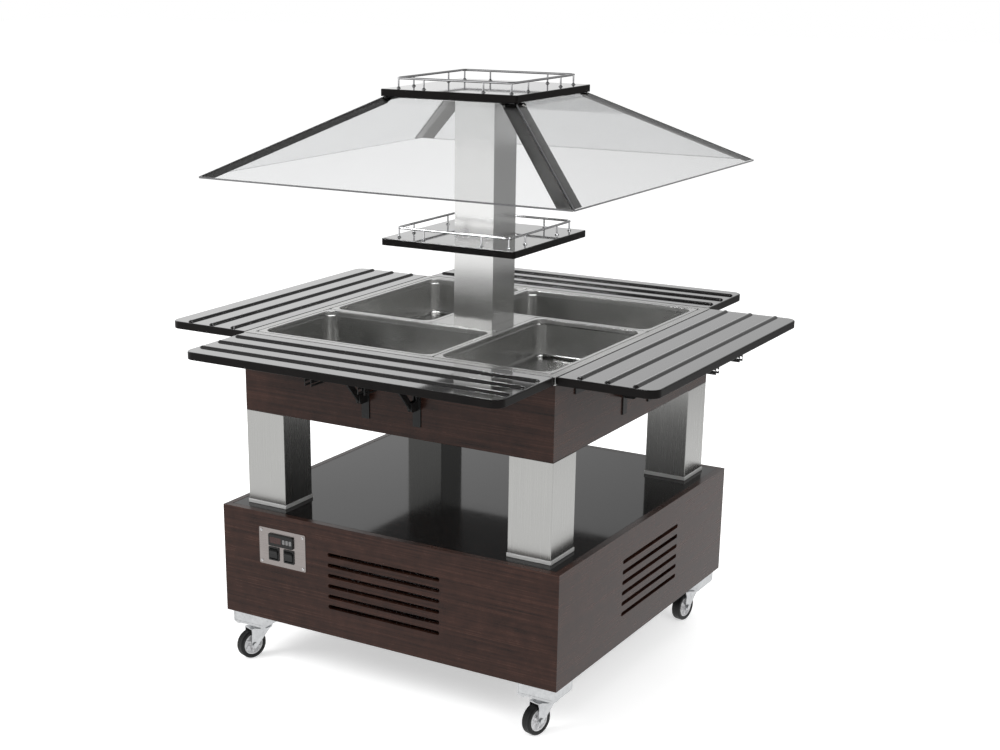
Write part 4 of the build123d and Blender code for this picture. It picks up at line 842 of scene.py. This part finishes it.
def tyreProfile(look):
    # distance from the axis and place along it, over one half of the tyre and mirrored to the other
    w, r, k = look["width"] / 2, look["radius"], look["round"]
    outer = [tuple(p) for p in arc((r - k, w - k), k, 90, 0, look["roundSteps"])]
    tread = [(r - depth, w * share) for depth, share in look["tread"]]
    side = [(look["tyreInner"] + rise, w * share) for rise, share in look["sideSteps"]]
    half = side + outer + tread
    mirrored = [(a, -b) for a, b in reversed(half[:-1])]
    return half + mirrored


def hubFace(look, centre, axis, sign):
    # depth of a hub face over radius and angle: boss, sunk web with ribs almost as high as the rim, and rim;
    # a rib's share of its height falls with the distance from its middle line, held between nought and one
    outside, boss = look["tyreInner"], look["bossRadius"]
    rimStart = outside - look["rimInner"]
    radii = np.concatenate([[look["bore"], boss - look["bossEase"], boss],
                            np.linspace(boss + look["bossFoot"], outside - look["webEnd"], look["webSteps"]),
                            [rimStart, outside - look["rimOuter"], outside]])
    angles = np.linspace(0, 2 * math.pi, look["around"] * 2, endpoint=False)
    radius, angle = np.meshgrid(radii, angles, indexing="ij")
    fromRib = np.abs(((angle * look["ribs"] / (2 * math.pi)) % 1) - 0.5)
    ribs = np.clip(look["ribRaise"] - look["ribFall"] * fromRib * radius / look["ribRadius"], 0, 1)
    web = look["webHalf"] + (look["hubRim"] - look["ribDrop"] - look["webHalf"]) * ribs
    depth = np.where(radius <= boss, look["bossHalf"], np.where(radius >= rimStart, look["hubRim"], web))
    depth = np.where(radius >= outside - look["seamWidth"], look["hubRim"] - look["rimEase"], depth)
    axis = np.array(axis, float)
    across = np.cross(axis, (0.0, 0.0, 1.0))
    across /= np.linalg.norm(across)
    third = np.cross(axis, across)
    spread = radius[..., None] * (np.cos(angle)[..., None] * across + np.sin(angle)[..., None] * third)
    return np.array(centre) + spread + sign * depth[..., None] * axis


def makeWheel(corner, look):
    joint = jointOf[f"castor_{corner}_roll"]
    centre, axis = joint["pos_m"], joint["axis"]
    body = joint["child"]
    node = f"castor_wheel_{corner}"
    tyre = revolve(tyreProfile(look), centre, axis, look["around"])
    makePiece(f"castorTyre_{corner}", [(np.concatenate([tyre, tyre[:1]]), True, "")], "tyreRubber", body,
              [node], crease=look["tyreCrease"])
    faces = [(hubFace(look, centre, axis, sign), True, "") for sign in (-1, 1)]
    bore = [(look["bore"], -look["bossHalf"]), (look["bore"], look["bossHalf"])]
    edge = look["hubRim"] - look["rimEase"]
    band = [(look["tyreInner"], -edge), (look["tyreInner"], edge)]
    for profile in (bore, band):
        faces.append((revolve(profile, centre, axis, look["around"] * 2), True, ""))
    makePiece(f"castorHub_{corner}", faces, "hubPlastic", body, crease=look["hubCrease"])


for corner in corners:
    makeWheel(corner, wheelLook)
print("castor wheels are made")


# Screws of the control plate and bolts of the castor plates

screwLook = {
    "head": 0.0035, "rise": 0.0018, "domeFall": 0.55, "rimGap": 1e-9, "rings": 13, "around": 64,
    "cross": 0.0034, "slotHalf": 0.00042, "slotDepth": 0.0011, "plateInset": 0.008,
    "boltApothem": 0.0062, "boltHead": 0.005, "boltEase": 0.0009, "boltTop": 0.86, "boltRound": 1.12,
    "boltAround": 48, "boltSpread": 0.04, "castorSheet": 0.003, "crease": 25,
}


def crossHead(x, z, y, look):
    # dome of a radius and height, lowered where the point lies in either arm of the cross
    radii = np.linspace(0, 1, look["rings"]) * look["head"]
    angles = np.linspace(0, 2 * math.pi, look["around"], endpoint=False)
    radius, angle = np.meshgrid(radii, angles, indexing="ij")
    u, v = radius * np.cos(angle), radius * np.sin(angle)
    dome = look["rise"] * (1 - look["domeFall"] * (radius / look["head"]) ** 2)
    dome = np.where(radius >= look["head"] - look["rimGap"], 0.0, dome)
    arm = np.minimum(np.abs(u), np.abs(v)) < look["slotHalf"]
    inside = (np.maximum(np.abs(u), np.abs(v)) < look["cross"] / 2) & arm
    lift = np.where(inside, dome - look["slotDepth"], dome)
    return np.stack([x + u, y - lift, z + v], -1)


def hexBolt(place, look):
    # six-sided head under the plate, its outline's radius is the apothem over the cosine within each sixth
    count, head = look["boltAround"], look["boltHead"]
    angles = np.linspace(0, 2 * math.pi, count, endpoint=False)
    within = (angles % (math.pi / 3)) - math.pi / 6
    outline = look["boltApothem"] / np.cos(within)
    x, y, z = place
    rows = []
    for scale, drop in ((0.0, head), (look["boltTop"], head), (1.0, head - look["boltEase"]), (1.0, 0.0)):
        r = np.minimum(outline * scale, look["boltApothem"] * look["boltRound"]) if scale < 1 else outline
        rows.append(np.stack([x + r * np.cos(angles), y + r * np.sin(angles), np.full(count, z - drop)], -1))
    rows.append(np.broadcast_to((x, y, z), rows[-1].shape))
    return np.array(rows)


def makeScrews(look):
    plateLow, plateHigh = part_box("control_plate")
    inset = look["plateInset"]
    heads = [(crossHead(x, z, plateLow.y, look), True, "last")
             for x in (plateLow.x + inset, plateHigh.x - inset)
             for z in (plateLow.z + inset, plateHigh.z - inset)]
    makePiece("plateScrews", heads, "brightWire", "island", ["screws"], crease=look["crease"])
    low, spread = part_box("castor_plates")[1].z - look["castorSheet"], look["boltSpread"]
    bolts = []
    for corner in corners:
        x, y = jointOf[f"castor_{corner}_swivel"]["pos_m"][:2]
        bolts += [(hexBolt((x + i * spread, y + j * spread, low), look), True, "")
                  for i in (-1, 1) for j in (-1, 1)]
    makePiece("castorBolts", bolts, "zincPlate", "island", crease=look["crease"])


makeScrews(screwLook)
print("screws are made")


# Folded end tabs that close the castor carriers at the front and back

tabLook = {"half": 0.050, "inset": 0.0022, "sheet": 0.0015, "side": 0.0006, "top": 0.0007, "rise": 0.0021,
           "corner": 0.002, "steps": 5}


def makeTabs(look):
    # rounded outline in the upright plane along X, as thick as the sheet, on both sides of each swivel
    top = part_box("panel_front")[0].z - look["top"]
    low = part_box("castor_plates")[1].z + look["rise"]
    flat = roundedLoop([look["half"] - look["inset"]] * 2, [(top - low) / 2] * 2, [look["corner"]] * 2,
                       look["steps"])
    outer = look["half"] - look["side"]
    depth = np.array([outer, outer - look["sheet"]])
    tabs = []
    for corner in corners:
        x, y = jointOf[f"castor_{corner}_swivel"]["pos_m"][:2]
        for sign in (-1, 1):
            across = np.broadcast_to((y + sign * depth)[:, None], flat.shape[:2])
            tab = np.stack([x + flat[..., 0], across, (top + low) / 2 + flat[..., 1]], -1)
            tabs.append((tab, True, "both"))
    makePiece("carrierTabs", tabs, "zincPlate", "island")


makeTabs(tabLook)
print("carrier tabs are made")


# Controller window: a thin glossy slab in its recess, its face towards -Y

windowLook = {
    "half": (0.0179, 0.0084), "shift": -0.016, "depth": 0.0004, "sink": 0.0002, "bezelHalf": 0.0165,
    "corner": 0.0012, "steps": 6, "scale": (1.0, 1.0, 0.96, 0.6, 0.0),
    "crown": (-1.0, 0.0, 0.15, 0.22, 0.25),  # shares of the depth, one for each scale
}


def makeWindow(look):
    # rounded outlines that shrink by the scales while they rise over the face by the shares of the depth
    low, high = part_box("control_housings")
    x, z = (low.x + high.x) / 2 + look["shift"], high.z - look["bezelHalf"]
    scale, lift = np.array(look["scale"]), np.array(look["crown"]) * look["depth"]
    halfX, halfZ = look["half"]
    flat = roundedLoop(halfX * scale, halfZ * scale, look["corner"] * scale, look["steps"])
    y = np.broadcast_to((low.y + look["sink"] - lift)[:, None], flat.shape[:2])
    window = np.stack([x + flat[..., 0], y, z + flat[..., 1]], -1)
    makePiece("displayWindow", [(window, True, "first")], "displayGloss", "island")


makeWindow(windowLook)
print("controller window is made")
